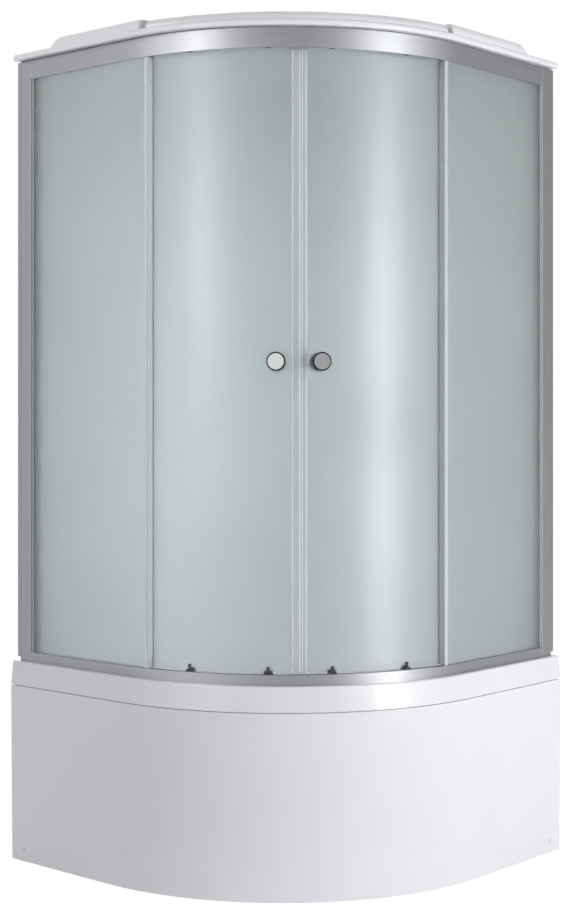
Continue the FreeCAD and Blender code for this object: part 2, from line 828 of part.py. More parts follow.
def make_wall_profile():
    low = from_wall(0)
    high = from_wall(wall_profile_width)
    front = front_y + wall_profile_setback
    back = front_y + post_depth - wall_profile_setback
    channel = [(low, front, 0), (high, front, 0), (high, front + post_wall, 0),
               (low + post_wall, front + post_wall, 0), (low + post_wall, back - post_wall, 0),
               (high, back - post_wall, 0), (high, back, 0), (low, back, 0)]
    return plan_solid(channel, tray_height + wall_profile_lift, frame_top)


def track_ledge(low, high):
    """Ledge that carries or guides the wheels; its edge keeps to the doors' own curve."""
    room = plan_solid(cabin_outline(track_edge - slot_wall / 2, post_width), low, high)
    reach = front_radius + rail_depth
    start = track_start_angle
    return room.common(ring_sector(rib_inner_radius, reach, start, quarter_turn - start, low, high))


def track_rib(low, high):
    start = track_start_angle
    return ring_sector(rib_inner_radius, rib_outer_radius, start, quarter_turn - start, low, high)


def make_bottom_rail():
    low = tray_height
    high = bottom_rail_top
    back = low + bottom_rail_back_height
    floor = low + rail_wall
    section = [(0, low, 0), (rail_depth, low, 0), (rail_depth, back, 0), (rail_depth - rail_wall, back, 0),
               (rail_depth - rail_wall, floor, 0), (track_edge, floor, 0), (track_edge, high, 0),
               (slot_back, high, 0), (slot_back, floor, 0), (rail_wall, floor, 0), (rail_wall, high, 0),
               (0, high, rail_edge_round)]
    ledge_low = high - ledge_thickness
    ledge = track_ledge(ledge_low, high)
    return along_frame(section).fuse([ledge, track_rib(bottom_rib_low, ledge_low)]).removeSplitter()


def make_top_rail():
    low = top_rail_low
    high = frame_top
    roof = high - rail_wall
    back = high - top_rail_back_drop
    section = [(0, low, rail_edge_round), (0, high, 0), (rail_depth, high, 0), (rail_depth, back, 0),
               (rail_depth - rail_wall, back, 0), (rail_depth - rail_wall, roof, 0), (track_edge, roof, 0),
               (track_edge, low + slot_wall_lift, 0), (slot_back, low + slot_wall_lift, 0),
               (slot_back, roof, 0), (rail_wall, roof, 0), (rail_wall, low, 0)]
    ledge = track_ledge(top_ledge_top - ledge_thickness, top_ledge_top)
    rail = along_frame(section).fuse([ledge, track_rib(top_ledge_top, top_ledge_top + top_rib_height)])
    for place in rail_screw_places():
        rail = rail.cut(Part.makeCylinder(roof_screw_radius + fit_gap, rail_wall + overrun,
                                          place + up * roof))
    return rail.removeSplitter()


def make_rail_stops():
    start = stop_angle - arc_degrees(stop_length)
    inner = front_radius - wheel_inner_inset
    outer = front_radius - wheel_outer_inset
    block = ring_sector(inner, outer, start, stop_angle, top_ledge_top, top_ledge_top + stop_height)
    slot = ring_sector(rib_inner_radius - fit_gap, rib_outer_radius + fit_gap, start - arc_degrees(overrun),
                       stop_angle + arc_degrees(overrun), top_ledge_top - overrun,
                       top_ledge_top + top_rib_height + fit_gap)
    return both_sides(block.cut(slot))


def make_fixed_glass():
    low = tray_height + rail_wall
    high = frame_top - rail_wall - fixed_glass_top_gap
    start = from_wall(post_width - fixed_glass_entry)
    flat = box(start, arc_centre.x, front_y + fixed_glass_inset, front_y + fixed_back_inset, low, high)
    outer = front_radius - fixed_glass_inset
    curved = ring_sector(outer - glass_thickness, outer, 0, fixed_edge_angle, low, high)
    return flat.fuse(curved).removeSplitter()


def make_post_seal():
    start = from_wall(post_width - fixed_glass_entry - fit_gap - seal_leg)
    end = from_wall(post_width + post_seal_cover)
    outer = front_y + seal_outer_inset
    inner = front_y + seal_inner_inset
    clip = [(start, outer, 0), (end, outer, seal_lip_round), (end, outer + seal_leg, seal_lip_round),
            (start + seal_leg, outer + seal_leg, 0), (start + seal_leg, inner - seal_leg, 0),
            (end, inner - seal_leg, seal_lip_round), (end, inner, seal_lip_round), (start, inner, 0)]
    return plan_solid(clip, bottom_rail_top + fit_gap, top_rail_low - fit_gap)


def make_fixed_seal():
    low = bottom_rail_top + fit_gap
    high = top_rail_low - fit_gap
    start = fixed_edge_angle - arc_degrees(fixed_seal_cover)
    outer = front_radius - seal_outer_inset
    inner = front_radius - seal_inner_inset
    end = fin_angle + arc_degrees(seal_leg)
    outer_leg = ring_sector(outer - seal_leg, outer, start, end, low, high)
    inner_leg = ring_sector(inner, inner + seal_leg, start, end, low, high)
    nose = ring_sector(inner, outer, fin_angle, end, low, high)
    fin_tip = door_outer_radius + fin_reach_gap
    fin = ring_sector(fin_tip, inner + seal_leg, fin_angle, end, low + fin_foot_clearance,
                      high - fin_head_clearance)
    return outer_leg.fuse([inner_leg, nose, fin]).removeSplitter()


# Doors
def make_door_glass(knob_angle):
    pane = ring_sector(door_inner_radius, door_outer_radius, tail_angle, lead_angle, door_low, door_high)
    hole = ray_cylinder(glass_hole_radius, door_glass_inset - overrun, door_back_inset + overrun,
                        top_rail_low + roller_screw_rise)
    knob_hole = ray_cylinder(glass_hole_radius, door_glass_inset - overrun, door_back_inset + overrun,
                             knob_height)
    holes = [turned(hole, lead_roller_angle), turned(hole, tail_roller_angle), turned(knob_hole, knob_angle)]
    return pane.cut(Part.makeCompound(holes))


def make_magnet_seal(width):
    start = lead_angle - arc_degrees(width - magnet_nose)
    end = seam_angle - arc_degrees(meeting_gap)
    grip = fit_gap + seal_leg
    body = ring_sector(door_inner_radius - grip, door_outer_radius + grip, start, end, door_low, door_high)
    slot = ring_sector(door_inner_radius - fit_gap, door_outer_radius + fit_gap,
                       start - arc_degrees(overrun), lead_angle + arc_degrees(fit_gap), door_low - overrun,
                       door_high + overrun)
    return body.cut(slot).cut(magnet_room(fit_gap, overrun))


def magnet_room(grow, longer):
    """The magnet strip in the seal's nose, or with grow above zero the channel that holds it."""
    middle = (door_inner_radius + door_outer_radius) / 2
    start = lead_angle + arc_degrees(magnet_wall + fit_gap - grow)
    end = seam_angle - arc_degrees(meeting_gap + magnet_wall - grow)
    half = magnet_depth / 2 + grow
    return ring_sector(middle - half, middle + half, start, end, door_low - longer, door_high + longer)


def make_tail_seal():
    outer = door_outer_radius + fit_gap + seal_leg
    inner = door_inner_radius - fit_gap - seal_leg
    start = tail_angle - arc_degrees(fit_gap + seal_leg)
    clip = ring_sector(inner, outer, start, tail_fin_angle, door_low, door_high)
    slot = ring_sector(inner + seal_leg, outer - seal_leg, tail_angle - arc_degrees(fit_gap),
                       tail_fin_angle + arc_degrees(overrun), door_low - overrun, door_high + overrun)
    fin_end = front_radius - track_edge + running_gap
    fin = ring_sector(outer - seal_leg, fin_end, tail_fin_angle - arc_degrees(seal_leg), tail_fin_angle,
                      door_low, top_rail_low - running_gap)
    return clip.cut(slot).fuse(fin).removeSplitter()


def make_wheel(radius, rolling_radius, height):
    bore = axle_radius + axle_gap
    profile = [(bore, wheel_outer_inset, 0), (radius, wheel_outer_inset, wheel_round),
               (radius, track_inset - groove_mouth / 2, 0),
               (rolling_radius, track_inset - groove_floor / 2, 0),
               (rolling_radius, track_inset + groove_floor / 2, 0),
               (radius, track_inset + groove_mouth / 2, 0), (radius, wheel_inner_inset, wheel_round),
               (bore, wheel_inner_inset, 0)]
    return ray_turning(profile, height)


def make_axle(height):
    head_inner = wheel_outer_inset - axle_head_gap
    pin = ray_cylinder(axle_radius, head_inner, arm_outer_inset, height)
    return pin.fuse(ray_cylinder(axle_head_radius, head_inner - axle_head_thickness, head_inner, height))


def make_top_bracket():
    low = top_rail_low + bracket_lift
    hip = top_rail_low + bracket_hip
    shoulder = top_rail_low + bracket_shoulder
    high = top_wheel_height + bracket_tip_rise
    foot = bracket_foot_width / 2
    side = bracket_width / 2
    tip = bracket_tip_width / 2
    corners = [(-foot, low, bracket_round), (foot, low, bracket_round), (side, hip, bracket_round),
               (side, shoulder, bracket_round), (tip, high, bracket_round), (-tip, high, bracket_round),
               (-side, shoulder, bracket_round), (-side, hip, bracket_round)]
    plate = ray_plate(corners, arm_outer_inset, arm_inner_inset)
    hole = ray_cylinder(roller_screw_radius + fit_gap, arm_outer_inset - overrun, arm_inner_inset + overrun,
                        top_rail_low + roller_screw_rise)
    return plate.cut(hole).fuse(make_axle(top_wheel_height))


def make_top_screw():
    seat = on_section(door_back_inset + running_gap, top_rail_low + roller_screw_rise)
    length = seat.y - front_y - arm_outer_inset - fit_gap
    return pan_screw(seat, outwards, roller_screw_head_radius, roller_screw_head_height,
                     roller_screw_radius, length)


saddle_low = bottom_rail_top + saddle_lift
saddle_back_inset = door_back_inset + running_gap
saddle_plate_inset = saddle_back_inset + saddle_plate_thickness


def make_saddle():
    """Bracket that grips the foot of the door, with the bell-shaped housing of the release outside."""
    face_inset = door_glass_inset - running_gap
    side = saddle_width / 2
    bell_high = saddle_low + saddle_bell_height
    bell_profile = [(0, saddle_low, 0), (side, saddle_low, 0),
                    (side, saddle_low + saddle_edge_height, saddle_edge_round),
                    (saddle_collar_radius, saddle_low + saddle_flare_height, saddle_flare_round),
                    (saddle_collar_radius, bell_high, 0), (0, bell_high, 0)]
    bell = upright_turning(bell_profile, on_section(release_stem_inset, 0))
    housing = bell.common(ray_box(saddle_width, saddle_outer_inset, face_inset, saddle_low, bell_high))
    web_low = bottom_rail_top - saddle_web_drop
    web = ray_box(saddle_width, arm_outer_inset, saddle_plate_inset, web_low, door_low - running_gap)
    plate_high = bottom_rail_top + saddle_plate_height
    plate = ray_plate([(-side, web_low, 0), (side, web_low, 0), (side, plate_high, bracket_round),
                       (-side, plate_high, bracket_round)], saddle_back_inset, saddle_plate_inset)
    stem_room = Part.makeCylinder(release_stem_radius + axle_gap, saddle_bell_height + overrun,
                                  on_section(release_stem_inset, saddle_low))
    arm_room = ray_box(release_arm_width + running_gap + running_gap, release_stem_inset - running_gap,
                       arm_inner_inset + running_gap, web_low - overrun,
                       bottom_rail_top + release_arm_rise + running_gap)
    hole = ray_cylinder(saddle_screw_radius + fit_gap, saddle_back_inset - overrun,
                        saddle_plate_inset + overrun, bottom_rail_top + saddle_screw_rise)
    return housing.fuse([web, plate]).cut(stem_room).cut(arm_room).cut(hole.common(plate)).removeSplitter()


def make_saddle_screw():
    seat = on_section(saddle_plate_inset, bottom_rail_top + saddle_screw_rise)
    length = saddle_plate_inset - door_back_inset - fit_gap
    return pan_screw(seat, outwards, saddle_screw_head_radius, saddle_screw_head_height,
                     saddle_screw_radius, length)


def make_release():
    """Stem of the spring release with the arm and axle that carry the guide wheel."""
    stem_low = bottom_rail_top + release_stem_foot
    stem_high = bottom_rail_top + release_stem_show
    cap_low = stem_high - release_cap_height
    stem_profile = [(0, stem_low, 0), (release_stem_radius, stem_low, 0), (release_stem_radius, cap_low, 0),
                    (release_cap_radius, cap_low, 0), (release_cap_radius, stem_high, release_cap_round),
                    (0, stem_high, 0)]
    stem = upright_turning(stem_profile, on_section(release_stem_inset, 0))
    arm = ray_box(release_arm_width, arm_outer_inset, arm_inner_inset,
                  bottom_wheel_height - release_arm_toe, bottom_rail_top + release_arm_rise)
    return stem.fuse([arm, make_axle(bottom_wheel_height)]).removeSplitter()


def make_knobs(knob_angle):
    def knob(face_inset, way):
        base = face_inset + way * knob_base_depth
        neck = base + way * knob_neck_length
        head = neck + way * knob_head_depth
        profile = [(0, face_inset, 0), (knob_base_radius, face_inset, 0),
                   (knob_base_radius, base, knob_round / 2), (knob_neck_radius, base, 0),
                   (knob_neck_radius, neck, 0), (knob_radius, neck, knob_round),
                   (knob_radius, head, knob_round), (0, head, 0)]
        stud_room = ray_cylinder(knob_stud_radius + axle_gap,
                                 min(face_inset, face_inset + way * knob_stud_depth),
                                 max(face_inset, face_inset + way * knob_stud_depth), knob_height)
        return ray_turning(profile, knob_height).cut(stud_room)
    outer = knob(door_glass_inset - running_gap, -1)
    inner = knob(door_back_inset + running_gap, 1)
    return turned(Part.makeCompound([outer, inner]), knob_angle)


def make_knob_stud(knob_angle):
    start = door_glass_inset - running_gap - knob_stud_depth
    end = door_back_inset + running_gap + knob_stud_depth
    return turned(ray_cylinder(knob_stud_radius, start, end, knob_height), knob_angle)


# Back walls
def make_back_wall():
    start = front_y + post_depth
    end = half_width - panel_wall_gap - column_width
    return box(from_wall(panel_wall_gap), panel_inner_x, start, end, tray_height, frame_top)


def make_right_back_wall():
    panel = mirrored(make_back_wall())
    for spot in mixer_inlet_places():
        reach = panel_thickness + overrun + overrun
        start = Vector(spot.x, -panel_inner_x - overrun, spot.z)
        panel = panel.cut(Part.makeCylinder(mixer_inlet_radius + mixer_inlet_clearance, reach, start,
                                            inwards))
    return panel


def make_corner_column():
    outer = from_wall(panel_wall_gap)
    far = outer + column_width
    profile = [(outer, -outer, 0), (outer, -far, 0), (panel_inner_x, -far, 0),
               (panel_inner_x, -panel_inner_x, column_cove), (far, -panel_inner_x, 0), (far, -outer, 0)]
    return plan_solid(profile, tray_height, frame_top)


# Roof
roof_lip_top = frame_top + roof_lip_height
crown_centre = Vector(crown_from_walls - half_width, half_width - crown_from_walls, 0)


def lobe_section(shrink, low, high):
    """Section (inset, height) of a lobe, or with shrink above zero of the room under its skin."""
    outer = lobe_setback - roof_overhang
    inner = outer + lobe_depth
    rounding = lobe_round - shrink
    return [(outer + shrink, low, 0), (inner - shrink, low, 0), (inner - shrink, high, rounding),
            (outer + shrink, high, rounding)]


def end_edges(shape, x, low):
    """Edges round an upright end face at x, without the edge along its foot."""
    found = []
    for edge in shape.Edges:
        bounds = edge.BoundBox
        in_face = abs(bounds.XMin - x) < smallest_edge and abs(bounds.XMax - x) < smallest_edge
        if in_face and bounds.ZMax > low + smallest_edge:
            found.append(edge)
    return found


def side_lobe(shrink, low):
    """Lobe beside a wall: upright at its notch, and rising from the lip in a ramp at its outer end."""
    high = frame_top + side_lobe_height - shrink
    rise = side_lobe_height - roof_lip_height
    slant = Vector(lobe_ramp_run, 0, rise).Length
    foot = from_wall(side_lobe_start) + shrink * slant / rise + (low - roof_lip_top) * lobe_ramp_run / rise
    shoulder = foot + (high - low) * lobe_ramp_run / rise
    end = from_wall(side_lobe_end) - shrink
    place = lambda inset, height: Vector(foot, front_y + inset, height)
    loaf = Part.Face(rounded_wire(lobe_section(shrink, low, high), place)).extrude(Vector(end - foot, 0, 0))
    loaf = loaf.makeFillet(lobe_notch_round - shrink, end_edges(loaf, end, low))
    profile = [(foot, low, 0), (end + overrun, low, 0), (end + overrun, high, 0),
               (shoulder, high, lobe_ramp_round - shrink)]
    outer = front_y + lobe_setback - roof_overhang - overrun
    ramp = Part.Face(rounded_wire(profile, lambda along, height: Vector(along, outer, height)))
    return loaf.common(ramp.extrude(inwards * (lobe_depth + overrun + overrun)))


def middle_lobe(shrink, low):
    start = middle_lobe_start_angle + arc_degrees(shrink)
    section = lobe_section(shrink, low, frame_top + middle_lobe_height - shrink)
    half = Part.Face(rounded_wire(section, on_section)).revolve(arc_centre, up, seam_angle - start)
    half = half.makeFillet(lobe_notch_round - shrink, end_edges(half, arc_centre.x, low))
    half = turned(half, start)
    return half.fuse(mirrored(half)).removeSplitter()


def crown(shrink):
    """Dome over the middle of the roof, or with shrink above zero the room under its skin."""
    low = frame_top
    high = cabin_height - shrink
    foot = crown_foot_radius - shrink
    shoulder_radius = crown_shoulder_radius - shrink
    shoulder = roof_lip_top + crown_shoulder_rise - shrink
    profile = [(0, low, 0), (foot, low, 0), (foot, roof_lip_top - roof_skin, 0),
               (shoulder_radius, shoulder, crown_top_radius), (crown_top_radius, high, crown_top_radius),
               (0, high, 0)]
    return upright_turning(profile, crown_centre)


def rail_screw_places():
    """Places along the top rail where screws hold the roof."""
    along = from_wall(post_width + roof_screw_margin)
    side = Vector(along, front_y + roof_screw_inset, 0)
    start = on_section(roof_screw_inset, 0)
    angles = (roof_screw_angle, seam_angle, quarter_turn - roof_screw_angle)
    places = [side, Vector(-side.y, -side.x, 0)]
    for angle in angles:
        vertex = turned(Part.Vertex(start), angle)
        places.append(vertex.Point)
    return places


def make_roof():
    lip_low = frame_top + roof_step_height
    lip = plan_solid(cabin_outline(-roof_overhang, roof_wall_gap), lip_low, roof_lip_top)
    lip = lip.makeFillet(roof_lip_round, level_edges(lip, roof_lip_top, on_front))
    lip = lip.makeFillet(roof_under_round, level_edges(lip, lip_low, on_front))
    seat = plan_solid(cabin_outline(roof_step_inset, roof_wall_gap), frame_top, roof_lip_top - roof_skin)
    side = side_lobe(0, roof_lip_top - roof_lip_round)
    middle = middle_lobe(0, roof_lip_top - roof_lip_round)
    roof = lip.fuse([seat, side, mirrored(side), middle, crown(0)])
    ceiling = plan_solid(cabin_outline(roof_seat_inset, roof_wall_seat), frame_top - overrun,
                         roof_lip_top - roof_skin)
    side_room = side_lobe(roof_skin, roof_lip_top - roof_skin - overrun)
    middle_room = middle_lobe(roof_skin, roof_lip_top - roof_skin - overrun)
    for room in (ceiling, crown(roof_skin), side_room, mirrored(side_room), middle_room):
        roof = roof.cut(room)
    for place in rail_screw_places():
        roof = roof.cut(Part.makeCylinder(roof_screw_radius + fit_gap, roof_screw_length + overrun,
                                          place + up * (frame_top - overrun)))
    return roof.removeSplitter()


def make_roof_screws():
    """Screws that hold the roof from below, through the top of the rail."""
    screws = []
    for place in rail_screw_places():
        screws.append(pan_screw(place + up * (frame_top - rail_wall), up, roof_screw_head_radius,
                                roof_screw_head_height, roof_screw_radius, roof_screw_length))
    return screws


def make_frame_screws():
    return Part.makeCompound(make_post_screws() + make_roof_screws())


def make_rain_head():
    high = frame_top - rain_head_drop
    low = high - rain_head_thickness
    disc = [(0, low, 0), (rain_head_radius, low, rain_head_round),
            (rain_head_radius, high, rain_head_round), (0, high, 0)]
    head = upright_turning(disc, crown_centre)
    pipe = Part.makeCylinder(rain_pipe_radius, cabin_height - roof_skin - high, crown_centre + up * high)
    nozzles = []
    for ring in range(1, rain_nozzle_rings + 1):
        count = rain_nozzles_per_ring * ring
        for index in range(count):
            spot = crown_centre + Vector(ring * rain_nozzle_pitch, 0, low - overrun)
            nozzle = Part.makeCylinder(rain_nozzle_radius, rain_nozzle_depth + overrun, spot)
            nozzle.rotate(crown_centre, up, full_turn * index / count)
            nozzles.append(nozzle)
    return head.fuse(pipe).cut(Part.makeCompound(nozzles))


# Mixer on the back wall
mixer_x = mixer_along_wall - half_width
mixer_wall_y = -panel_inner_x
mixer_barrel_y = mixer_wall_y - mixer_plate_thickness - mixer_barrel_length
mixer_cap_y = mixer_barrel_y - running_gap
mixer_face_y = mixer_cap_y - mixer_cap_length
lever_pivot = Vector(mixer_x, mixer_face_y + lever_pivot_from_face, mixer_height)


def mixer_turning(profile):
    """Turned piece about the mixer's axis; profile corners are (radius, y, round)."""
    place = lambda radius, y: Vector(mixer_x + radius, y, mixer_height)
    return Part.Face(rounded_wire(profile, place)).revolve(Vector(mixer_x, 0, mixer_height), inwards,
                                                           full_turn)


def mixer_inlet_places():
    offset = mixer_inlet_spacing / 2
    return [Vector(mixer_x - offset, mixer_wall_y, mixer_height),
            Vector(mixer_x + offset, mixer_wall_y, mixer_height)]


def make_mixer_body():
    plate_y = mixer_wall_y - mixer_plate_thickness
    spigot_y = mixer_barrel_y - mixer_spigot_length
    profile = [(0, mixer_wall_y, 0), (mixer_plate_radius, mixer_wall_y, 0),
               (mixer_plate_radius, plate_y, mixer_plate_round), (mixer_barrel_radius, plate_y, 0),
               (mixer_barrel_radius, mixer_barrel_y, 0), (mixer_spigot_radius, mixer_barrel_y, 0),
               (mixer_spigot_radius, spigot_y, 0), (0, spigot_y, 0)]
    body = mixer_turning(profile)
    for spot in mixer_inlet_places():
        neck_length = panel_thickness + mixer_inlet_clearance
        neck = Part.makeCylinder(mixer_neck_radius, neck_length, spot, inwards)
        nipple = Part.makeCylinder(mixer_inlet_radius, mixer_inlet_length, spot + inwards * neck_length,
                                   inwards)
        body = body.fuse([neck, nipple])
    return body


def make_mixer_cap():
    room_y = mixer_barrel_y - mixer_spigot_length - running_gap
    room = mixer_spigot_radius + axle_gap
    profile = [(room, mixer_cap_y, 0), (mixer_cap_radius, mixer_cap_y, 0),
               (mixer_cap_radius, mixer_face_y, mixer_cap_round), (0, mixer_face_y, 0), (0, room_y, 0),
               (room, room_y, 0)]
    cap = mixer_turning(profile)
    slot_half = lever_width / 2 + lever_slot_clearance
    slot_back = lever_pivot.y + lever_root_radius + lever_slot_clearance
    slot = box(mixer_x - slot_half, mixer_x + slot_half, mixer_face_y - overrun, slot_back,
               mixer_height - mixer_cap_radius - overrun,
               mixer_height + lever_root_radius + lever_slot_clearance)
    pin_start = lever_pivot - Vector(slot_half + overrun / 2, 0, 0)
    pin = Part.makeCylinder(lever_pin_radius, slot_half + slot_half + overrun, pin_start, Vector(1, 0, 0))
    return cap.cut(slot).fuse(pin)


def make_mixer_lever():
    half = lever_width / 2
    tip = lever_tip_width / 2
    low = mixer_height - lever_length
    neck = mixer_height - mixer_cap_radius - lever_root_radius
    paddle = [(mixer_x - half, mixer_height, 0), (mixer_x - half, neck, 0), (mixer_x - tip, low, half),
              (mixer_x + tip, low, half), (mixer_x + half, neck, 0), (mixer_x + half, mixer_height, 0)]
    front = lever_pivot.y - lever_thickness / 2
    place = lambda x, z: Vector(x, front, z)
    blade = Part.Face(rounded_wire(paddle, place)).extrude(inwards * lever_thickness)
    root = Part.makeCylinder(lever_root_radius, lever_width, lever_pivot - Vector(half, 0, 0),
                             Vector(1, 0, 0))
    bore = Part.makeCylinder(lever_pin_radius + axle_gap, lever_width + overrun + overrun,
                             lever_pivot - Vector(half + overrun, 0, 0), Vector(1, 0, 0))
    return blade.fuse(root).cut(bore)


# Everything by name
def roller_pair(shape):
    return Part.makeCompound([turned(shape, lead_roller_angle), turned(shape, tail_roller_angle)])


cabin_pieces = {
    "tray": make_tray(),
    "drain_cover": make_drain_cover(),
    "drain_trap": make_drain_trap(),
    "skirt": make_skirt(),
    "skirt_screws": make_skirt_screws(),
    "skirt_brackets": make_skirt_brackets(),
    "tray_frame": make_tray_frame(),
    "leg_studs": make_leg_studs(),
    "foot_pads": make_foot_pads(),
    "wall_profiles": both_sides(make_wall_profile()),
    "post_seals": both_sides(make_post_seal()),
    "fixed_seals": both_sides(make_fixed_seal()),
    "bottom_rail": make_bottom_rail(),
    "top_rail": make_top_rail(),
    "rail_stops": make_rail_stops(),
    "frame_screws": make_frame_screws(),
    "left_back_wall": make_back_wall(),
    "right_back_wall": make_right_back_wall(),
    "corner_column": make_corner_column(),
    "roof": make_roof(),
    "rain_head": make_rain_head(),
    "mixer_body": make_mixer_body(),
    "mixer_cap": make_mixer_cap(),
    "mixer_lever": make_mixer_lever(),
}

top_wheel = make_wheel(top_wheel_radius, top_wheel_rolling_radius, top_wheel_height)
bottom_wheel = make_wheel(bottom_wheel_radius, bottom_wheel_rolling_radius, bottom_wheel_height)
release = make_release()
top_screws = roller_pair(make_top_screw())
saddle_screws = roller_pair(make_saddle_screw())

paired_pieces = {
    "post": make_post(),
    "fixed_glass": make_fixed_glass(),
    "magnet": magnet_room(0, 0),
    "tail_seal": make_tail_seal(),
    "top_brackets": roller_pair(make_top_bracket()),
    "foot_brackets": roller_pair(make_saddle()),
    "roller_screws": Part.makeCompound(top_screws.Solids + saddle_screws.Solids),
    "top_lead_wheel": turned(top_wheel, lead_roller_angle),
    "top_tail_wheel": turned(top_wheel, tail_roller_angle),
    "foot_lead_wheel": turned(bottom_wheel, lead_roller_angle),
    "foot_tail_wheel": turned(bottom_wheel, tail_roller_angle),
    "lead_release": turned(release, lead_roller_angle),
    "tail_release": turned(release, tail_roller_angle),
}



def door_pieces(knob_angle, seal_width):
    """Pieces that differ between the two doors, as they stand on the left one."""
    return {
        "door_glass": make_door_glass(knob_angle),
        "knobs": make_knobs(knob_angle),
        "knob_stud": make_knob_stud(knob_angle),
        "magnet_seal": make_magnet_seal(seal_width),
    }


for name, shape in cabin_pieces.items():
    shape.exportStep("parts/" + name + ".step")
for name, shape in paired_pieces.items():
    shape.exportStep("parts/left_" + name + ".step")
    mirrored(shape).exportStep("parts/right_" + name + ".step")
for name, shape in door_pieces(left_knob_angle, left_magnet_seal_width).items():
    shape.exportStep("parts/left_" + name + ".step")
for name, shape in door_pieces(right_knob_angle, right_magnet_seal_width).items():
    mirrored(shape).exportStep("parts/right_" + name + ".step")
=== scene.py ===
# %% [markdown]
# # A corner shower cabin
# The cabin stands in a room's corner: a deep white tray behind a curved skirt, a satin aluminium frame,
# two fixed and two sliding panes of etched glass, and a moulded roof. Its solids come in finished, in
# metres, with +Z up and the floor at zero. This lesson gives each solid the surface of its real
# material, adds the small things that solids leave out, and lights the result like a studio picture.

# %% Load the solids
import math
import bpy
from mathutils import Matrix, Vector


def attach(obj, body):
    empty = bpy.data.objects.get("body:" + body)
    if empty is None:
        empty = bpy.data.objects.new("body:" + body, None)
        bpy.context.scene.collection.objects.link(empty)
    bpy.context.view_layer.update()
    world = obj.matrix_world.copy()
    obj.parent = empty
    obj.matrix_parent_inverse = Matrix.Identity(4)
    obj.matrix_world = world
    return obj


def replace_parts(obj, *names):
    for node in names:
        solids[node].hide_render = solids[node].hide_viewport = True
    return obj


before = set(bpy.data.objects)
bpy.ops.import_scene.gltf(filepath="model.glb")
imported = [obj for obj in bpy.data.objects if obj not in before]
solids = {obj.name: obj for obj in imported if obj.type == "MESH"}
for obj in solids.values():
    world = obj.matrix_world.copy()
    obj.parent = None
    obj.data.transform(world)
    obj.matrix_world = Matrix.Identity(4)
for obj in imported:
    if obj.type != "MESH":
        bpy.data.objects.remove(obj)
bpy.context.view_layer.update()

# %% [markdown]
# ## The camera
# The picture was taken from standing height with the camera held level, so every upright stays upright
# and the picture is framed by shifting the lens, not by tilting it. The place and focal length were
# solved from the straight rails and the heights of the frame, and are typed in here.

# %% Level camera with a shifted lens
eye = bpy.data.cameras.new("eye")
eye.sensor_width = 36
eye.lens = 66.747
eye.shift_x = -0.003455
eye.shift_y = -0.05009
camera = bpy.data.objects.new("camera", eye)
camera.location = (2.8735, -3.2732, 1.1418)
camera.rotation_euler = (math.radians(90), 0, math.radians(41.28))
bpy.context.scene.collection.objects.link(camera)
bpy.context.scene.camera = camera
print("camera", tuple(round(value, 3) for value in camera.location))

# %% [markdown]
# ## Tools for materials
# Colours are read from pictures as sRGB hex values, but a shader works in linear light, so one function
# turns them round. Nodes are added by one small function: it takes the kind, the values or links of its
# sockets, and its settings. A socket given as a number is set and one given as another node's output is
# linked, which keeps each material below as short as a recipe. In a colour mix, socket 0 is the share
# and sockets 6 and 7 are the two colours.

# %% Colour and node helpers
def linear(code):
    parts = [int(code[index:index + 2], 16) / 255 for index in (1, 3, 5)]
    light = [part / 12.92 if part < 0.04045 else ((part + 0.055) / 1.055) ** 2.4 for part in parts]
    return (*light, 1)


def wire(tree, node, sockets):
    for name, value in sockets.items():
        for part in value if isinstance(value, list) else [value]:
            if isinstance(part, bpy.types.NodeSocket):
                tree.links.new(part, node.inputs[name])
            else:
                node.inputs[name].default_value = part
    return node


def add(tree, kind, sockets={}, **settings):
    node = tree.nodes.new(kind)
    for name, value in settings.items():
        setattr(node, name, value)
    return wire(tree, node, sockets)


def new_finish(name):
    material = bpy.data.materials.new(name)
    material.use_nodes = True
    tree = material.node_tree
    place = add(tree, "ShaderNodeTexCoord").outputs["Object"]
    return material, tree, tree.nodes["Principled BSDF"], place


def dress(material, *names):
    for name in names:
        solids[name].data.materials.clear()
        solids[name].data.materials.append(material)
    print(material.name, "on", len(names), "solids")


print("the grey #808080 is", round(linear("#808080")[0], 3), "in linear light")

# %% [markdown]
# ## White plastics
# The tray and its skirt are sheets of sanitary acrylic drawn over a mould. The sheet is glossy and very
# slightly wavy, with a fine orange peel, and both break up reflections. A flat white with one roughness
# would look like paper, so a wide wave and a small peel share the work of colour, gloss and bump. The
# back walls are cast panels of the same plastic, with less peel.

# %% Acrylic sheet
def acrylic_sheet(name, low, high, smooth, rough, peel_depth):
    material, tree, shader, place = new_finish(name)
    # The sheet swells about once in 140 mm; its orange peel is about 7 mm across.
    wave = add(tree, "ShaderNodeTexNoise", {"Vector": place, "Scale": 1000 / 140, "Detail": 1.0})
    peel = add(tree, "ShaderNodeTexNoise", {"Vector": place, "Scale": 1000 / 7, "Detail": 3.0})
    tint = add(tree, "ShaderNodeMix", {0: wave.outputs["Fac"], 6: linear(low), 7: linear(high)},
               data_type="RGBA")
    haze = add(tree, "ShaderNodeMapRange", {"Value": peel.outputs["Fac"], "To Min": smooth,
                                            "To Max": rough})
    swell = add(tree, "ShaderNodeBump", {"Height": wave.outputs["Fac"], "Strength": 0.12,
                                         "Distance": 0.0015})
    skin = add(tree, "ShaderNodeBump", {"Height": peel.outputs["Fac"], "Strength": 0.05,
                                        "Distance": peel_depth, "Normal": swell.outputs["Normal"]})
    # The clear coat stands for the polished face, which gives a second, sharper gleam.
    wire(tree, shader, {"Base Color": tint.outputs[2], "Roughness": haze.outputs["Result"],
                        "Normal": skin.outputs["Normal"], "IOR": 1.49, "Coat Weight": 0.25,
                        "Coat Roughness": 0.08})
    return material


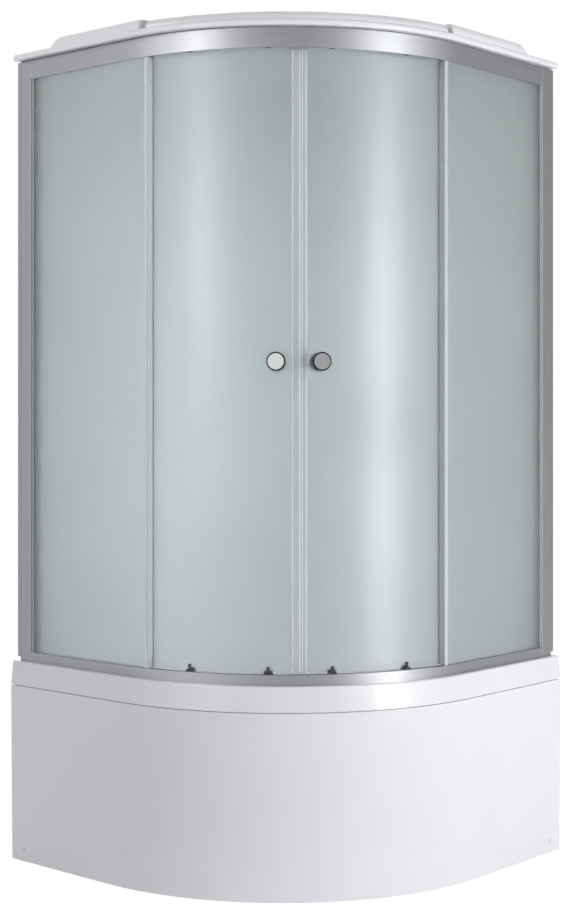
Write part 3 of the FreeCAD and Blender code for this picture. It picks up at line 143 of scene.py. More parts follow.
sanitary_acrylic = acrylic_sheet("drawn_acrylic", "#EDECF1", "#F2F1F6", smooth=0.14, rough=0.3,
                                 peel_depth=0.0003)
panel_acrylic = acrylic_sheet("cast_acrylic_panel", "#E8EBEC", "#EFF1F2", smooth=0.1, rough=0.22,
                              peel_depth=0.0001)
dress(sanitary_acrylic, "tray", "skirt", "skirt_screws")
dress(panel_acrylic, "left_back_wall", "right_back_wall", "corner_column")

# %% [markdown]
# The roof is ABS, heated and sucked down over a mould. Its skin is duller than the acrylic and keeps a
# fine grain from the mould, so its highlights are wide and soft.

# %% Thermoformed roof
roof_abs, tree, shader, place = new_finish("thermoformed_abs")
# The mould's grain is about 0.4 mm; it is drawn at 1.4 mm to show at this distance.
grain = add(tree, "ShaderNodeTexNoise", {"Vector": place, "Scale": 1000 / 1.4, "Detail": 2.0})
# The colour drifts over about 160 mm, as the heated sheet stretches unevenly.
drift = add(tree, "ShaderNodeTexNoise", {"Vector": place, "Scale": 1000 / 160, "Detail": 1.0})
tint = add(tree, "ShaderNodeMix", {0: drift.outputs["Fac"], 6: linear("#F0F0F4"), 7: linear("#F6F6FA")},
           data_type="RGBA")
haze = add(tree, "ShaderNodeMapRange", {"Value": grain.outputs["Fac"], "To Min": 0.26, "To Max": 0.42})
skin = add(tree, "ShaderNodeBump", {"Height": grain.outputs["Fac"], "Strength": 0.08, "Distance": 0.0003})
wire(tree, shader, {"Base Color": tint.outputs[2], "Roughness": haze.outputs["Result"],
                    "Normal": skin.outputs["Normal"], "IOR": 1.53})
dress(roof_abs, "roof")

# %% [markdown]
# ## Anodised aluminium
# Rails and posts are extruded, brushed and anodised. The die and the brush leave hair-fine lines along
# the length of each bar, so reflections smear across it. Anisotropy alone would need tangents, so the
# lines are drawn: a noise that is squeezed hard across the bar and left almost constant along it, level
# on the rails and upright on the posts.

# %% Brushed bars
# Along the bar the pattern is 250 times as long as it is across.
along_the_bar = 1 / 250


def anodised(name, stretch):
    material, tree, shader, place = new_finish(name)
    # Real brush lines are about 0.05 mm apart; they are drawn at 0.6 mm to show at this distance.
    along = add(tree, "ShaderNodeMapping", {"Vector": place, "Scale": stretch})
    lines = add(tree, "ShaderNodeTexNoise", {"Vector": along.outputs[0], "Scale": 1000 / 0.6,
                                             "Detail": 2.0})
    # The anodised layer clouds the polish in blotches of about 60 mm.
    blotch = add(tree, "ShaderNodeTexNoise", {"Vector": place, "Scale": 1000 / 60, "Detail": 2.0})
    tint = add(tree, "ShaderNodeMix", {0: lines.outputs["Fac"], 6: linear("#838488"), 7: linear("#9D9EA2")},
               data_type="RGBA")
    haze = add(tree, "ShaderNodeMapRange", {"Value": blotch.outputs["Fac"], "To Min": 0.34, "To Max": 0.44})
    grooves = add(tree, "ShaderNodeBump", {"Height": lines.outputs["Fac"], "Strength": 0.15,
                                           "Distance": 0.00005})
    wire(tree, shader, {"Base Color": tint.outputs[2], "Roughness": haze.outputs["Result"],
                        "Normal": grooves.outputs["Normal"], "Metallic": 1.0})
    return material


rail_aluminium = anodised("anodised_rail", (along_the_bar, along_the_bar, 1))
post_aluminium = anodised("anodised_post", (1, 1, along_the_bar))
dress(rail_aluminium, "bottom_rail", "top_rail")
dress(post_aluminium, "left_post", "right_post", "wall_profiles")

# %% [markdown]
# ## Etched glass and its seals
# The panes are toughened glass with one etched face. Light that passes is spread wide, so the inside of
# the cabin shows only as a pale grey-green veil, while lamps still draw soft bright bands on the curve.
# Pure transmission would need many bounces to look bright, so a rough transmission is mixed with a
# little surface colour, which gives both the veil and the bands.

# %% Etched glass
etched_glass, tree, shader, place = new_finish("etched_glass")
# The etch is a grain of about 0.2 mm, drawn at 0.9 mm; its depth drifts over about 220 mm.
frost = add(tree, "ShaderNodeTexNoise", {"Vector": place, "Scale": 1000 / 0.9, "Detail": 3.0})
cloud = add(tree, "ShaderNodeTexNoise", {"Vector": place, "Scale": 1000 / 220, "Detail": 1.0})
tint = add(tree, "ShaderNodeMix", {0: cloud.outputs["Fac"], 6: linear("#E7EEED"), 7: linear("#EFF5F4")},
           data_type="RGBA")
haze = add(tree, "ShaderNodeMapRange", {"Value": frost.outputs["Fac"], "To Min": 0.29, "To Max": 0.38})
etch = add(tree, "ShaderNodeBump", {"Height": frost.outputs["Fac"], "Strength": 0.05, "Distance": 0.0001})
wire(tree, shader, {"Base Color": tint.outputs[2], "Roughness": haze.outputs["Result"],
                    "Normal": etch.outputs["Normal"], "IOR": 1.5, "Specular IOR Level": 0.36,
                    "Transmission Weight": 0.95})
dress(etched_glass, "left_fixed_glass", "right_fixed_glass", "left_door_glass", "right_door_glass")

# %% [markdown]
# The seals are extruded from soft PVC. Those that carry the magnets are half clear, and those on the fixed
# panes and on the tails of the doors have gone cloudy. The gaskets between post and pane are tinted grey,
# which is painted shade: the tint stands in for the darker shadow line along each post. The die leaves fine
# upright lines in all of them, and those give the strips their bright and dark streaks.

# %% Clear and cloudy seals, and gaskets greyed with painted shade
def extruded_pvc(name, low, high, clearness):
    material, tree, shader, place = new_finish(name)
    # Lines from the die are about 1 mm apart, drawn at 2.2 mm, and run the whole height of the strip.
    along = add(tree, "ShaderNodeMapping", {"Vector": place, "Scale": (1, 1, along_the_bar)})
    streak = add(tree, "ShaderNodeTexNoise", {"Vector": along.outputs[0], "Scale": 1000 / 2.2,
                                              "Detail": 2.0})
    tint = add(tree, "ShaderNodeMix", {0: streak.outputs["Fac"], 6: linear(low), 7: linear(high)},
               data_type="RGBA")
    haze = add(tree, "ShaderNodeMapRange", {"Value": streak.outputs["Fac"], "To Min": 0.08, "To Max": 0.2})
    ridge = add(tree, "ShaderNodeBump", {"Height": streak.outputs["Fac"], "Strength": 0.15,
                                         "Distance": 0.0002})
    wire(tree, shader, {"Base Color": tint.outputs[2], "Roughness": haze.outputs["Result"],
                        "Normal": ridge.outputs["Normal"], "IOR": 1.53, "Transmission Weight": clearness})
    return material


clear_pvc = extruded_pvc("clear_soft_pvc", "#DCE5EE", "#F3F8FE", clearness=0.45)
aged_pvc = extruded_pvc("aged_soft_pvc", "#D8DEE2", "#E8EDF0", clearness=0.2)
# The gaskets' grey tint is painted shade: it stands in for the shadow line along each post.
post_gasket_painted_shade = extruded_pvc("pvc_gasket_painted_shade", "#A2AEAE", "#B4BFBF", clearness=0.25)
dress(clear_pvc, "left_magnet_seal", "right_magnet_seal")
dress(aged_pvc, "fixed_seals", "left_tail_seal", "right_tail_seal")
dress(post_gasket_painted_shade, "post_seals")

# %% [markdown]
# ## Plated metals
# Mixer, rain head and drain cover are chrome plate: nearly a mirror, with a faint cloud of polish marks.
# Screws and the tray frame are zinc-plated steel, duller and spangled. Each knob is chrome with a rim of
# black lacquer. Its rim is found by distance from the knob's own axis: a cross product with the axis
# gives that distance wherever the knob points, so one recipe serves both doors.

# %% Chrome and zinc
def plated(name, low, high, smooth, rough, mark_size):
    material, tree, shader, place = new_finish(name)
    # Marks and spangles have the same size, in millimetres.
    mark = add(tree, "ShaderNodeTexNoise", {"Vector": place, "Scale": 1000 / mark_size, "Detail": 3.0})
    spangle = add(tree, "ShaderNodeTexVoronoi", {"Vector": place, "Scale": 1000 / mark_size})
    tint = add(tree, "ShaderNodeMix", {0: spangle.outputs["Color"], 6: linear(low), 7: linear(high)},
               data_type="RGBA")
    haze = add(tree, "ShaderNodeMapRange", {"Value": mark.outputs["Fac"], "To Min": smooth,
                                            "To Max": rough})
    wire(tree, shader, {"Base Color": tint.outputs[2], "Roughness": haze.outputs["Result"],
                        "Metallic": 1.0})
    return material


chrome = plated("chrome_plate", "#CACCCF", "#D0D2D5", smooth=0.04, rough=0.1, mark_size=12)
zinc = plated("zinc_plated_steel", "#8E9092", "#A9ABAC", smooth=0.32, rough=0.48, mark_size=4)
dress(chrome, "drain_cover", "rain_head", "mixer_body", "mixer_cap", "mixer_lever")
dress(zinc, "frame_screws", "left_roller_screws", "right_roller_screws", "left_knob_stud",
      "right_knob_stud", "tray_frame", "skirt_brackets", "leg_studs")

# %% Knobs with a black rim
# The front is an arc about this upright axis, and places on it are given by their angle.
arc_centre = Vector((-0.0883, 0.0883, 0))
knob_height = 1.257
left_knob_angle = 39.1
right_knob_angle = 49.9
rim_start = 0.0188
rim_full = 0.0191


def ray(angle):
    turn = math.radians(angle)
    return Vector((math.sin(turn), -math.cos(turn), 0))


def knob_chrome(name, angle):
    material, tree, shader, place = new_finish(name)
    centre = arc_centre + Vector((0, 0, knob_height))
    from_centre = add(tree, "ShaderNodeVectorMath", {0: place, 1: centre}, operation="SUBTRACT")
    across = add(tree, "ShaderNodeVectorMath", {0: from_centre.outputs[0], 1: ray(angle)},
                 operation="CROSS_PRODUCT")
    radius = add(tree, "ShaderNodeVectorMath", {0: across.outputs[0]}, operation="LENGTH")
    rim = add(tree, "ShaderNodeMapRange", {"Value": radius.outputs["Value"], "From Min": rim_start,
                                           "From Max": rim_full})
    # Fingers leave smudges of about 9 mm.
    smudge = add(tree, "ShaderNodeTexNoise", {"Vector": place, "Scale": 1000 / 9, "Detail": 3.0})
    polish = add(tree, "ShaderNodeMapRange", {"Value": smudge.outputs["Fac"], "To Min": 0.05,
                                              "To Max": 0.16})
    tint = add(tree, "ShaderNodeMix", {0: rim.outputs["Result"], 6: linear("#D2D4D6"),
                                       7: linear("#050607")}, data_type="RGBA")
    metal = add(tree, "ShaderNodeMapRange", {"Value": rim.outputs["Result"], "To Min": 1.0, "To Max": 0.0})
    # Lacquer this black keeps almost no gleam, so its specular level is near zero.
    wire(tree, shader, {"Base Color": tint.outputs[2], "Roughness": polish.outputs["Result"],
                        "Metallic": metal.outputs["Result"], "Specular IOR Level": 0.02})
    return material


dress(knob_chrome("left_knob_chrome", left_knob_angle), "left_knobs")
dress(knob_chrome("right_knob_chrome", right_knob_angle), "right_knobs")

# %% [markdown]
# ## Moulded plastics and rubber
# Brackets and releases are glass-filled nylon, dark and dull with pale flecks of fibre. Wheels and the
# trap are white acetal, a little waxy. Pads and stops are rubber, and the magnets are ferrite powder in
# rubber under a pale coat. In all four a fine grain changes colour, gloss and height together, so they
# share a recipe.

# %% Nylon, acetal, rubber and ferrite
def moulded(name, low, high, smooth, rough, grain_size, grain_depth):
    material, tree, shader, place = new_finish(name)
    # The grain's size is in millimetres; finer real grain is drawn at about 1 mm to show close up.
    grain = add(tree, "ShaderNodeTexNoise", {"Vector": place, "Scale": 1000 / grain_size, "Detail": 2.0})
    tint = add(tree, "ShaderNodeMix", {0: grain.outputs["Fac"], 6: linear(low), 7: linear(high)},
               data_type="RGBA")
    haze = add(tree, "ShaderNodeMapRange", {"Value": grain.outputs["Fac"], "To Min": smooth,
                                            "To Max": rough})
    skin = add(tree, "ShaderNodeBump", {"Height": grain.outputs["Fac"], "Strength": 0.2,
                                        "Distance": grain_depth})
    wire(tree, shader, {"Base Color": tint.outputs[2], "Roughness": haze.outputs["Result"],
                        "Normal": skin.outputs["Normal"], "IOR": 1.5})
    return material


nylon = moulded("glass_filled_nylon", "#26272A", "#3E3F43", smooth=0.4, rough=0.55,
                grain_size=0.8, grain_depth=0.0002)
acetal = moulded("white_acetal", "#DADAD6", "#E6E6E2", smooth=0.28, rough=0.42,
                 grain_size=1.5, grain_depth=0.0001)
rubber = moulded("black_rubber", "#131313", "#202020", smooth=0.68, rough=0.82,
                 grain_size=1.2, grain_depth=0.0003)
ferrite = moulded("coated_ferrite_rubber", "#BFC6CC", "#D0D6DB", smooth=0.52, rough=0.66,
                  grain_size=1.0, grain_depth=0.0001)
wheels = [side + end for side in ("left_", "right_")
          for end in ("top_lead_wheel", "top_tail_wheel", "foot_lead_wheel", "foot_tail_wheel")]
dress(nylon, "left_foot_brackets", "right_foot_brackets", "left_top_brackets", "right_top_brackets",
      "left_lead_release", "left_tail_release", "right_lead_release", "right_tail_release")
dress(acetal, "drain_trap", *wheels)
dress(rubber, "rail_stops", "foot_pads")
dress(ferrite, "left_magnet", "right_magnet")

# %% [markdown]
# ## Things that repeat
# Screws, nozzles and threads are one shape set out many times, which is what Geometry Nodes are for. Each
# tree below takes its sizes as named inputs, sets its shape on given points, and turns it to face the
# way that each point says. The result is made a plain mesh, so nothing depends on the tree later.

# %% Growing a mesh from a tree
def new_tree(name, sizes):
    tree = bpy.data.node_groups.new(name, "GeometryNodeTree")
    tree.interface.new_socket("Geometry", in_out="INPUT", socket_type="NodeSocketGeometry")
    tree.interface.new_socket("Geometry", in_out="OUTPUT", socket_type="NodeSocketGeometry")
    for size in sizes:
        tree.interface.new_socket(size, in_out="INPUT", socket_type="NodeSocketFloat")
    return tree, add(tree, "NodeGroupInput").outputs


def set_on_points(tree, given, shapes, material, axis="Z"):
    whole = add(tree, "GeometryNodeJoinGeometry", {0: shapes})
    facing = add(tree, "GeometryNodeInputNamedAttribute", {"Name": "facing"}, data_type="FLOAT_VECTOR")
    turn = add(tree, "FunctionNodeAlignRotationToVector", {"Vector": facing.outputs["Attribute"]},
               axis=axis)
    placed = add(tree, "GeometryNodeInstanceOnPoints", {"Points": given["Geometry"],
                                                        "Instance": whole.outputs[0],
                                                        "Rotation": turn.outputs[0]})
    plain = add(tree, "GeometryNodeRealizeInstances", {"Geometry": placed.outputs[0]})
    dressed = add(tree, "GeometryNodeSetMaterial", {"Geometry": plain.outputs[0], "Material": material})
    add(tree, "NodeGroupOutput", {"Geometry": dressed.outputs[0]})
    print(tree.name, "is a tree of", len(tree.nodes), "nodes")


def grow(name, tree, places, sizes, body):
    spots = bpy.data.meshes.new(name)
    spots.from_pydata([spot for spot, way in places], [], [])
    facing = spots.attributes.new("facing", "FLOAT_VECTOR", "POINT")
    for index, (spot, way) in enumerate(places):
        facing.data[index].vector = way
    seed = bpy.data.objects.new(name, spots)
    bpy.context.scene.collection.objects.link(seed)
    modifier = seed.modifiers.new("grow", "NODES")
    modifier.node_group = tree
    for item in tree.interface.items_tree:
        if item.in_out == "INPUT" and item.name in sizes:
            modifier[item.identifier] = sizes[item.name]
    mesh = bpy.data.meshes.new_from_object(seed.evaluated_get(bpy.context.evaluated_depsgraph_get()))
    seed.modifiers.remove(modifier)
    seed.data = mesh
    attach(seed, body)
    print(name, "has", len(mesh.polygons), "faces on", len(places), "places")
    return seed


# %% [markdown]
# ## Screws
# The frame is held by pan-head screws: four inside each post, which show as dark spots through the left
# pane, and five up through the top rail into the roof. One more hangs each top bracket on its glass and
# one clamps each foot bracket. The head is a short drum with a flattened ball for its crown; a cross of
# two blades is cut out of it, because a plain button would not read as a screw.

# %% A pan-head screw with a cross recess
# The drum and crown share the head's height; the recess is measured by the head's radius.
drum_share = 0.55
crown_share = 0.45
recess_length = 1.15
recess_width = 0.24


def screw_tree(name, material):
    tree, given = new_tree(name, ("Head Radius", "Head Height", "Shank Radius", "Shank Length"))
    times = {"operation": "MULTIPLY"}
    wall = add(tree, "ShaderNodeMath", {0: given["Head Height"], 1: drum_share}, **times).outputs[0]
    crown = add(tree, "ShaderNodeMath", {0: given["Head Height"], 1: crown_share}, **times).outputs[0]
    half_wall = add(tree, "ShaderNodeMath", {0: wall, 1: 0.5}, **times).outputs[0]
    half_shank = add(tree, "ShaderNodeMath", {0: given["Shank Length"], 1: -0.5}, **times).outputs[0]
    long_side = add(tree, "ShaderNodeMath", {0: given["Head Radius"], 1: recess_length}, **times).outputs[0]
    short_side = add(tree, "ShaderNodeMath", {0: given["Head Radius"], 1: recess_width}, **times).outputs[0]
    drum = add(tree, "GeometryNodeMeshCylinder", {"Vertices": 28, "Radius": given["Head Radius"],
                                                  "Depth": wall})
    drum_lift = add(tree, "ShaderNodeCombineXYZ", {"Z": half_wall})
    drum = add(tree, "GeometryNodeTransform", {"Geometry": drum.outputs["Mesh"],
                                               "Translation": drum_lift.outputs[0]})
    ball = add(tree, "GeometryNodeMeshUVSphere", {"Segments": 28, "Rings": 14, "Radius": 1.0})
    ball_lift = add(tree, "ShaderNodeCombineXYZ", {"Z": wall})
    ball_size = add(tree, "ShaderNodeCombineXYZ", {"X": given["Head Radius"], "Y": given["Head Radius"],
                                                   "Z": crown})
    dome = add(tree, "GeometryNodeTransform", {"Geometry": ball.outputs["Mesh"],
                                               "Translation": ball_lift.outputs[0],
                                               "Scale": ball_size.outputs[0]})
    head = add(tree, "GeometryNodeMeshBoolean", {"Mesh 2": [drum.outputs[0], dome.outputs[0]]},
               operation="UNION", solver="EXACT")
    sink = add(tree, "ShaderNodeCombineXYZ", {"Z": given["Head Height"]})
    blades = []
    for x_side, y_side in ((long_side, short_side), (short_side, long_side)):
        sides = add(tree, "ShaderNodeCombineXYZ", {"X": x_side, "Y": y_side, "Z": given["Head Height"]})
        blade = add(tree, "GeometryNodeMeshCube", {"Size": sides.outputs[0]})
        blade = add(tree, "GeometryNodeTransform", {"Geometry": blade.outputs["Mesh"],
                                                    "Translation": sink.outputs[0]})
        blades.append(blade.outputs[0])
    recessed = add(tree, "GeometryNodeMeshBoolean", {"Mesh 1": head.outputs[0], "Mesh 2": blades},
                   operation="DIFFERENCE", solver="EXACT")
    shank = add(tree, "GeometryNodeMeshCylinder", {"Vertices": 16, "Radius": given["Shank Radius"],
                                                   "Depth": given["Shank Length"]})
    shank_drop = add(tree, "ShaderNodeCombineXYZ", {"Z": half_shank})
    shank = add(tree, "GeometryNodeTransform", {"Geometry": shank.outputs["Mesh"],
                                                "Translation": shank_drop.outputs[0]})
    set_on_points(tree, given, [recessed.outputs[0], shank.outputs[0]], material)
    return tree


pan_screw = screw_tree("pan_screw", zinc)


# %% Screws of the frame and roof
def mirrored(way):
    return Vector((-way.y, -way.x, way.z))


up = Vector((0, 0, 1))
to_the_right = Vector((1, 0, 0))
post_screws = []
for height in (0.567, 1.0345, 1.502, 1.9695):
    seat = Vector((-0.448, -0.4547, height))
    post_screws.append((seat, to_the_right))
    post_screws.append((mirrored(seat), mirrored(to_the_right)))
roof_seat = Vector((-0.418, -0.4517, 2.0275))
roof_seat_radius = 0.54
roof_screws = [(roof_seat, -up), (mirrored(roof_seat), -up)]
for angle in (22, 45, 68):
    roof_screws.append((arc_centre + ray(angle) * roof_seat_radius + up * roof_seat.z, -up))
post_sizes = {"Head Radius": 0.005, "Head Height": 0.0035, "Shank Radius": 0.002, "Shank Length": 0.012}
roof_sizes = {"Head Radius": 0.0045, "Head Height": 0.003, "Shank Radius": 0.0022, "Shank Length": 0.01}
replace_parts(grow("post_screw_set", pan_screw, post_screws, post_sizes, "cabin"), "frame_screws")
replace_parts(grow("roof_screw_set", pan_screw, roof_screws, roof_sizes, "cabin"), "frame_screws")

# %% Screws of the doors
lead_angle = 37.15
tail_angle = 17.2
hanger_radius = 0.5407
hanger_height = 1.9915
saddle_radius = 0.5377
saddle_height = 0.5366
top_sizes = {"Head Radius": 0.006, "Head Height": 0.0025, "Shank Radius": 0.0024, "Shank Length": 0.00865}
foot_sizes = {"Head Radius": 0.0026, "Head Height": 0.002, "Shank Radius": 0.0015, "Shank Length": 0.0032}
for side in ("left", "right"):
    top_places = []
    foot_places = []
    for angle in (lead_angle, tail_angle):
        outward = ray(angle) if side == "left" else ray(90 - angle)
        top_places.append((arc_centre + outward * hanger_radius + up * hanger_height, -outward))
        foot_places.append((arc_centre + outward * saddle_radius + up * saddle_height, -outward))
    body = side + "_door"
    node = side + "_roller_screws"
    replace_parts(grow(side + "_hanger_screws", pan_screw, top_places, top_sizes, body), node)
    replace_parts(grow(side + "_saddle_screws", pan_screw, foot_places, foot_sizes, body), node)

# %% [markdown]
# ## Lips of the seals
# The free edges of the seals end in a thick soft lip. Its opaque white is partly the lip's own colour and
# partly a painted highlight: it stands in for the thin bright lines beside the meeting of the doors and
# along the left fixed pane. A lip is an upright bar with a flat oval section, so a cylinder is squashed and
# turned about the upright until its flat side faces outwards.

# %% Soft lips, white partly as painted highlight
# The lips' opaque white is partly painted highlight for the bright lines along the seal edges.
lip_pvc_painted_highlight = moulded("white_pvc_painted_highlight", "#DDE4E8", "#ECF1F4", smooth=0.34, rough=0.46,
                   grain_size=1.6, grain_depth=0.0001)
lip_tree, given = new_tree("seal_lip", ("Thickness", "Width", "Length"))
bar = add(lip_tree, "GeometryNodeMeshCylinder", {"Vertices": 20, "Radius": 0.5, "Depth": given["Length"]})
oval = add(lip_tree, "ShaderNodeCombineXYZ", {"X": given["Thickness"], "Y": given["Width"], "Z": 1.0})
bar = add(lip_tree, "GeometryNodeTransform", {"Geometry": bar.outputs["Mesh"], "Scale": oval.outputs[0]})
set_on_points(lip_tree, given, [bar.outputs[0]], lip_pvc_painted_highlight, axis="X")
door_lips = (("left", "left_edge_lip", 42.96, 0.0022), ("left", "left_nose_lip", 44.78, 0.0032),
             ("right", "right_nose_lip", 45.42, 0.0022), ("right", "right_edge_lip", 46.4, 0.0034))
door_lip_radius = 0.5472
door_lip_middle = 1.2585
for side, name, angle, width in door_lips:
    edge = [(arc_centre + ray(angle) * door_lip_radius + up * door_lip_middle, ray(angle))]
    sizes = {"Thickness": 0.0018, "Width": width, "Length": 1.446}
    grow(name, lip_tree, edge, sizes, side + "_door")
fixed_lip_angle = 5.3
fixed_lip_radius = 0.5652
fixed_lip_middle = 1.2573
fixed_out = ray(fixed_lip_angle)
fixed_edge = [(arc_centre + fixed_out * fixed_lip_radius + up * fixed_lip_middle, fixed_out)]
fixed_lip_sizes = {"Thickness": 0.0022, "Width": 0.006, "Length": 1.448}
grow("left_fixed_lip", lip_tree, fixed_edge, fixed_lip_sizes, "cabin")

# %% [markdown]
# ## Levelling legs
# The tray frame stands on four M12 studs, each with a nut locked under its tube. A thread is a ridge that
# climbs a spiral, so a three-sided profile is swept along a spiral curve over a plain core. The nut is a
# six-sided prism with a bore.

# %% Threaded studs with locking nuts
# The drill that bores the nut is longer than any nut is high.
drill_length = 0.1


def leg_tree(name, material):
    tree, given = new_tree(name, ("Core Radius", "Ridge", "Pitch", "Length", "Nut Corner Radius",
                                  "Nut Height", "Nut Low"))
    half_length = add(tree, "ShaderNodeMath", {0: given["Length"], 1: 0.5}, operation="MULTIPLY")
    core = add(tree, "GeometryNodeMeshCylinder", {"Vertices": 24, "Radius": given["Core Radius"],
                                                  "Depth": given["Length"]})
    core_lift = add(tree, "ShaderNodeCombineXYZ", {"Z": half_length.outputs[0]})
    core = add(tree, "GeometryNodeTransform", {"Geometry": core.outputs["Mesh"],
                                               "Translation": core_lift.outputs[0]})
    turns = add(tree, "ShaderNodeMath", {0: given["Length"], 1: given["Pitch"]}, operation="DIVIDE")
    climb = add(tree, "GeometryNodeCurveSpiral", {"Resolution": 24, "Rotations": turns.outputs[0],
                                                  "Start Radius": given["Core Radius"],
                                                  "End Radius": given["Core Radius"],
                                                  "Height": given["Length"]})
    profile = add(tree, "GeometryNodeCurvePrimitiveCircle", {"Resolution": 3, "Radius": given["Ridge"]},
                  mode="RADIUS")
    ridge = add(tree, "GeometryNodeCurveToMesh", {"Curve": climb.outputs[0],
                                                  "Profile Curve": profile.outputs[0],
                                                  "Fill Caps": True})
    nut_middle = add(tree, "ShaderNodeMath", {0: given["Nut Height"], 1: 0.5, 2: given["Nut Low"]},
                     operation="MULTIPLY_ADD")
    nut_lift = add(tree, "ShaderNodeCombineXYZ", {"Z": nut_middle.outputs[0]})
    prism = add(tree, "GeometryNodeMeshCylinder", {"Vertices": 6, "Radius": given["Nut Corner Radius"],
                                                   "Depth": given["Nut Height"]})
    drill = add(tree, "GeometryNodeMeshCylinder", {"Vertices": 24, "Radius": given["Core Radius"],
                                                   "Depth": drill_length})
    nut = add(tree, "GeometryNodeMeshBoolean", {"Mesh 1": prism.outputs["Mesh"],
                                                "Mesh 2": drill.outputs["Mesh"]},
              operation="DIFFERENCE", solver="EXACT")
    nut = add(tree, "GeometryNodeTransform", {"Geometry": nut.outputs[0],
                                              "Translation": nut_lift.outputs[0]})
    set_on_points(tree, given, [core.outputs[0], ridge.outputs[0], nut.outputs[0]], material)
    return tree


stud_low = 0.014
middle_leg_radius = 0.5098
side_leg = Vector((-0.35, -0.4192, stud_low))
corner_leg = Vector((-0.35, 0.35, stud_low))
middle_leg = arc_centre + ray(45) * middle_leg_radius + up * stud_low
legs = [(place, up) for place in (side_leg, mirrored(side_leg), corner_leg, middle_leg)]
leg_sizes = {"Core Radius": 0.0051, "Ridge": 0.0008, "Pitch": 0.00175, "Length": 0.0975,
             "Nut Corner Radius": 0.01, "Nut Height": 0.009, "Nut Low": 0.076}
threaded_leg = leg_tree("threaded_leg", zinc)
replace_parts(grow("threaded_legs", threaded_leg, legs, leg_sizes, "cabin"), "leg_studs")

# %% [markdown]
# ## Nozzles of the rain head
# Water leaves the rain head through soft silicone nubs, which are rubbed with a thumb to break off scale.
# They stand in four rings, six more in each ring than in the one inside it. Each is a blunt cone with its
# foot sunk in the plate.

# %% Silicone nubs
silicone = moulded("grey_silicone", "#6B6F73", "#7C8084", smooth=0.5, rough=0.64,
                   grain_size=1.0, grain_depth=0.0001)
nub_tree, given = new_tree("silicone_nub", ("Foot Radius", "Tip Radius", "Length", "Sink"))
cone = add(nub_tree, "GeometryNodeMeshCone", {"Vertices": 12, "Radius Top": given["Tip Radius"],
                                              "Radius Bottom": given["Foot Radius"],
                                              "Depth": given["Length"]})
sink = add(nub_tree, "ShaderNodeMath", {0: given["Sink"], 1: -1}, operation="MULTIPLY")
drop = add(nub_tree, "ShaderNodeCombineXYZ", {"Z": sink.outputs[0]})
cone = add(nub_tree, "GeometryNodeTransform", {"Geometry": cone.outputs["Mesh"],
                                               "Translation": drop.outputs[0]})
set_on_points(nub_tree, given, [cone.outputs[0]], silicone)
plate = Vector((-0.06, 0.06, 1.9905))
ring_step = 0.022
nubs = []
for ring in range(1, 5):
    count = 6 * ring
    for index in range(count):
        turn = 2 * math.pi * index / count
        nubs.append((plate + Vector((math.cos(turn), math.sin(turn), 0)) * ring_step * ring, -up))
nub_sizes = {"Foot Radius": 0.0014, "Tip Radius": 0.0009, "Length": 0.0026, "Sink": 0.0009}
grow("rain_nubs", nub_tree, nubs, nub_sizes, "cabin")

# %% [markdown]
# ## The studio
# Product pictures of glass are lit by tall softboxes, because a curved pane shows each lamp as an upright
# band. Two stand square to the cabin's two sides, where their mirror images fall on the doors a third of
# the way in from each side, and the right one is the stronger. Smaller lamps light the roof, the top and
# the back. Two wide cards are seen in reflections only: they widen the bright bands on the rails without
# lighting the plastics. Two weak fills stand inside and are never seen themselves; they lift the shade
# on the left wall and low down behind the glass.

# %% Softboxes
def softbox(name, place, target, width, height, watts):
    lamp = bpy.data.lights.new(name, "AREA")
    lamp.shape = "RECTANGLE"
    lamp.size = width
    lamp.size_y = height
    lamp.energy = watts
    holder = bpy.data.objects.new(name, lamp)
    holder.location = place
    holder.rotation_euler = (Vector(target) - Vector(place)).to_track_quat("-Z", "Y").to_euler()
    bpy.context.scene.collection.objects.link(holder)
    return holder


softbox("left_softbox", (-0.08, -3.4, 2.1), (-0.08, 0, 1.8), width=0.5, height=1.7, watts=23)
softbox("roof_softbox", (-1.1, -2.1, 3.2), (-0.3, -0.5, 2.1), width=0.5, height=0.5, watts=11)
softbox("right_softbox", (3.5, 0.12, 1.25), (0, 0.12, 1.25), width=0.8, height=2.6, watts=70)
softbox("ceiling_softbox", (-0.7, 0.7, 3.6), (-0.1, 0.1, 2), width=1.2, height=1.2, watts=16)
softbox("back_softbox", (-2.6, 2.6, 1.6), (-0.4, 0.4, 1.2), width=2, height=2.4, watts=45)
left_card = softbox("left_card", (-0.6, -3.5, 1.4), (-0.6, 0, 1.4), width=3.2, height=3.6, watts=34)
right_card = softbox("right_card", (3.6, 0.35, 1.4), (0, 0.35, 1.4), width=3.4, height=3.6, watts=36)
for card in (left_card, right_card):
    card.visible_diffuse = False
    card.visible_transmission = False
left_fill = softbox("inner_left_fill", (0.2, -0.02, 1.05), (-0.5, -0.36, 1.0), width=0.3, height=1.1,
                    watts=0.68)
low_fill = softbox("inner_low_fill", (0.05, -0.05, 0.5), (-0.4, 0.4, 0.4), width=0.5, height=0.15,
                   watts=0.3)
for fill in (left_fill, low_fill):
    fill.visible_camera = False
    fill.visible_glossy = False
    fill.visible_transmission = False
print("lamps", [item.name for item in bpy.data.lights])


# %% [markdown]
# The background is white to the camera, in reflections and through the glass, and dim to everything
# else, so it does not flood the object with light. A real room isn't even, so two directions are darker,
# though never to the camera: one right of the photographer, which the right knob shows, and one far to
# the right, which the right post shows. The floor glows in the same way and hides its own edge.

# %% White surroundings
def seen_rays(tree):
    path = add(tree, "ShaderNodeLightPath")
    looked = add(tree, "ShaderNodeMath", {0: path.outputs["Is Camera Ray"],
                                          1: path.outputs["Is Glossy Ray"]}, operation="MAXIMUM")
    seen = add(tree, "ShaderNodeMath", {0: looked.outputs[0], 1: path.outputs["Is Transmission Ray"]},
               operation="MAXIMUM")
    return seen.outputs[0]


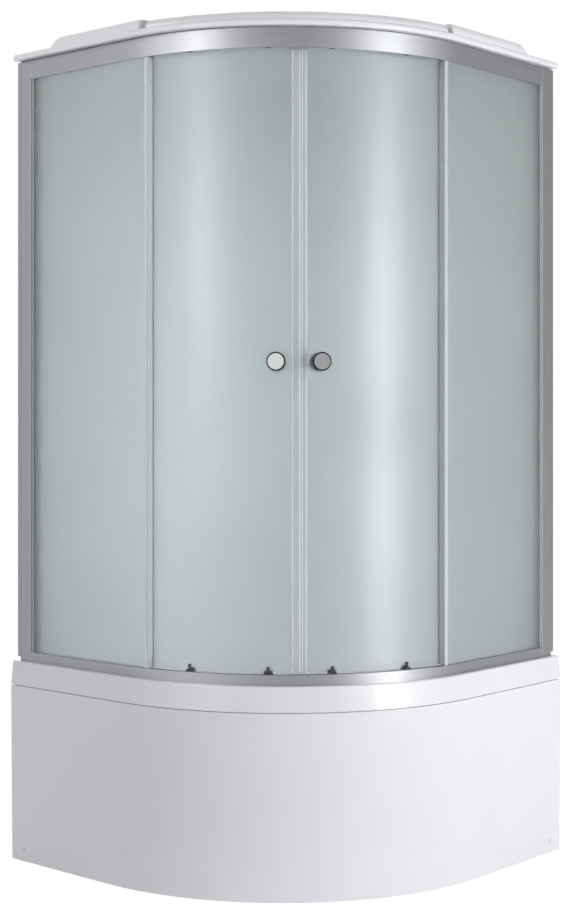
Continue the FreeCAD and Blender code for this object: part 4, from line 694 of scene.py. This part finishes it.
world = bpy.data.worlds.new("studio")
bpy.context.scene.world = world
world.use_nodes = True
tree = world.node_tree
unseen_level = 0.19
level = add(tree, "ShaderNodeMapRange", {"Value": seen_rays(tree), "To Min": unseen_level, "To Max": 1.0})
way = add(tree, "ShaderNodeTexCoord").outputs["Generated"]
strength = level.outputs["Result"]
# Each dark part of the room: its direction, the cosines where it starts and is full, and what is left.
dark_parts = ((60, 0.925, 0.99, 0.5), (138, 0.7, 0.95, 0.7))
for angle, start, full, left_over in dark_parts:
    near = add(tree, "ShaderNodeVectorMath", {0: way, 1: ray(angle)}, operation="DOT_PRODUCT")
    shade = add(tree, "ShaderNodeMapRange", {"Value": near.outputs["Value"], "From Min": start,
                                             "From Max": full, "To Min": 1.0, "To Max": left_over})
    shaded = add(tree, "ShaderNodeMath", {0: strength, 1: shade.outputs["Result"]}, operation="MULTIPLY")
    strength = shaded.outputs[0]
camera_ray = add(tree, "ShaderNodeLightPath").outputs["Is Camera Ray"]
strength = add(tree, "ShaderNodeMath", {0: strength, 1: camera_ray}, operation="MAXIMUM").outputs[0]
wire(tree, tree.nodes["Background"], {"Color": (1, 1, 1, 1), "Strength": strength})
print("world with", len(dark_parts), "dark parts")

# %% Painted floor
floor_paint, tree, paint, place = new_finish("white_studio_floor")
# A rolled paint leaves a stipple of about 3 mm.
stipple = add(tree, "ShaderNodeTexNoise", {"Vector": place, "Scale": 1000 / 3, "Detail": 1.0})
dull = add(tree, "ShaderNodeMapRange", {"Value": stipple.outputs["Fac"], "To Min": 0.85, "To Max": 0.95})
wire(tree, paint, {"Base Color": linear("#F4F4F4"), "Roughness": dull.outputs["Result"]})
# Nearly all of the floor is glow to rays that see it; the rest keeps a trace of shadow under the tray.
glow_share = 0.95
glow = add(tree, "ShaderNodeEmission", {"Color": (1, 1, 1, 1), "Strength": 1.03})
share = add(tree, "ShaderNodeMath", {0: seen_rays(tree), 1: glow_share}, operation="MULTIPLY")
mix = add(tree, "ShaderNodeMixShader", {0: share.outputs[0], 1: paint.outputs[0], 2: glow.outputs[0]})
wire(tree, tree.nodes["Material Output"], {"Surface": mix.outputs[0]})
reach = 30
corners = [(-reach, -reach, 0), (reach, -reach, 0), (reach, reach, 0), (-reach, reach, 0)]
ground = bpy.data.meshes.new("studio_floor")
ground.from_pydata(corners, [], [(0, 1, 2, 3)])
ground.materials.append(floor_paint)
floor = bpy.data.objects.new("studio_floor", ground)
bpy.context.scene.collection.objects.link(floor)
bpy.context.scene.view_settings.view_transform = "Standard"
print("floor", 2 * reach, "m wide")
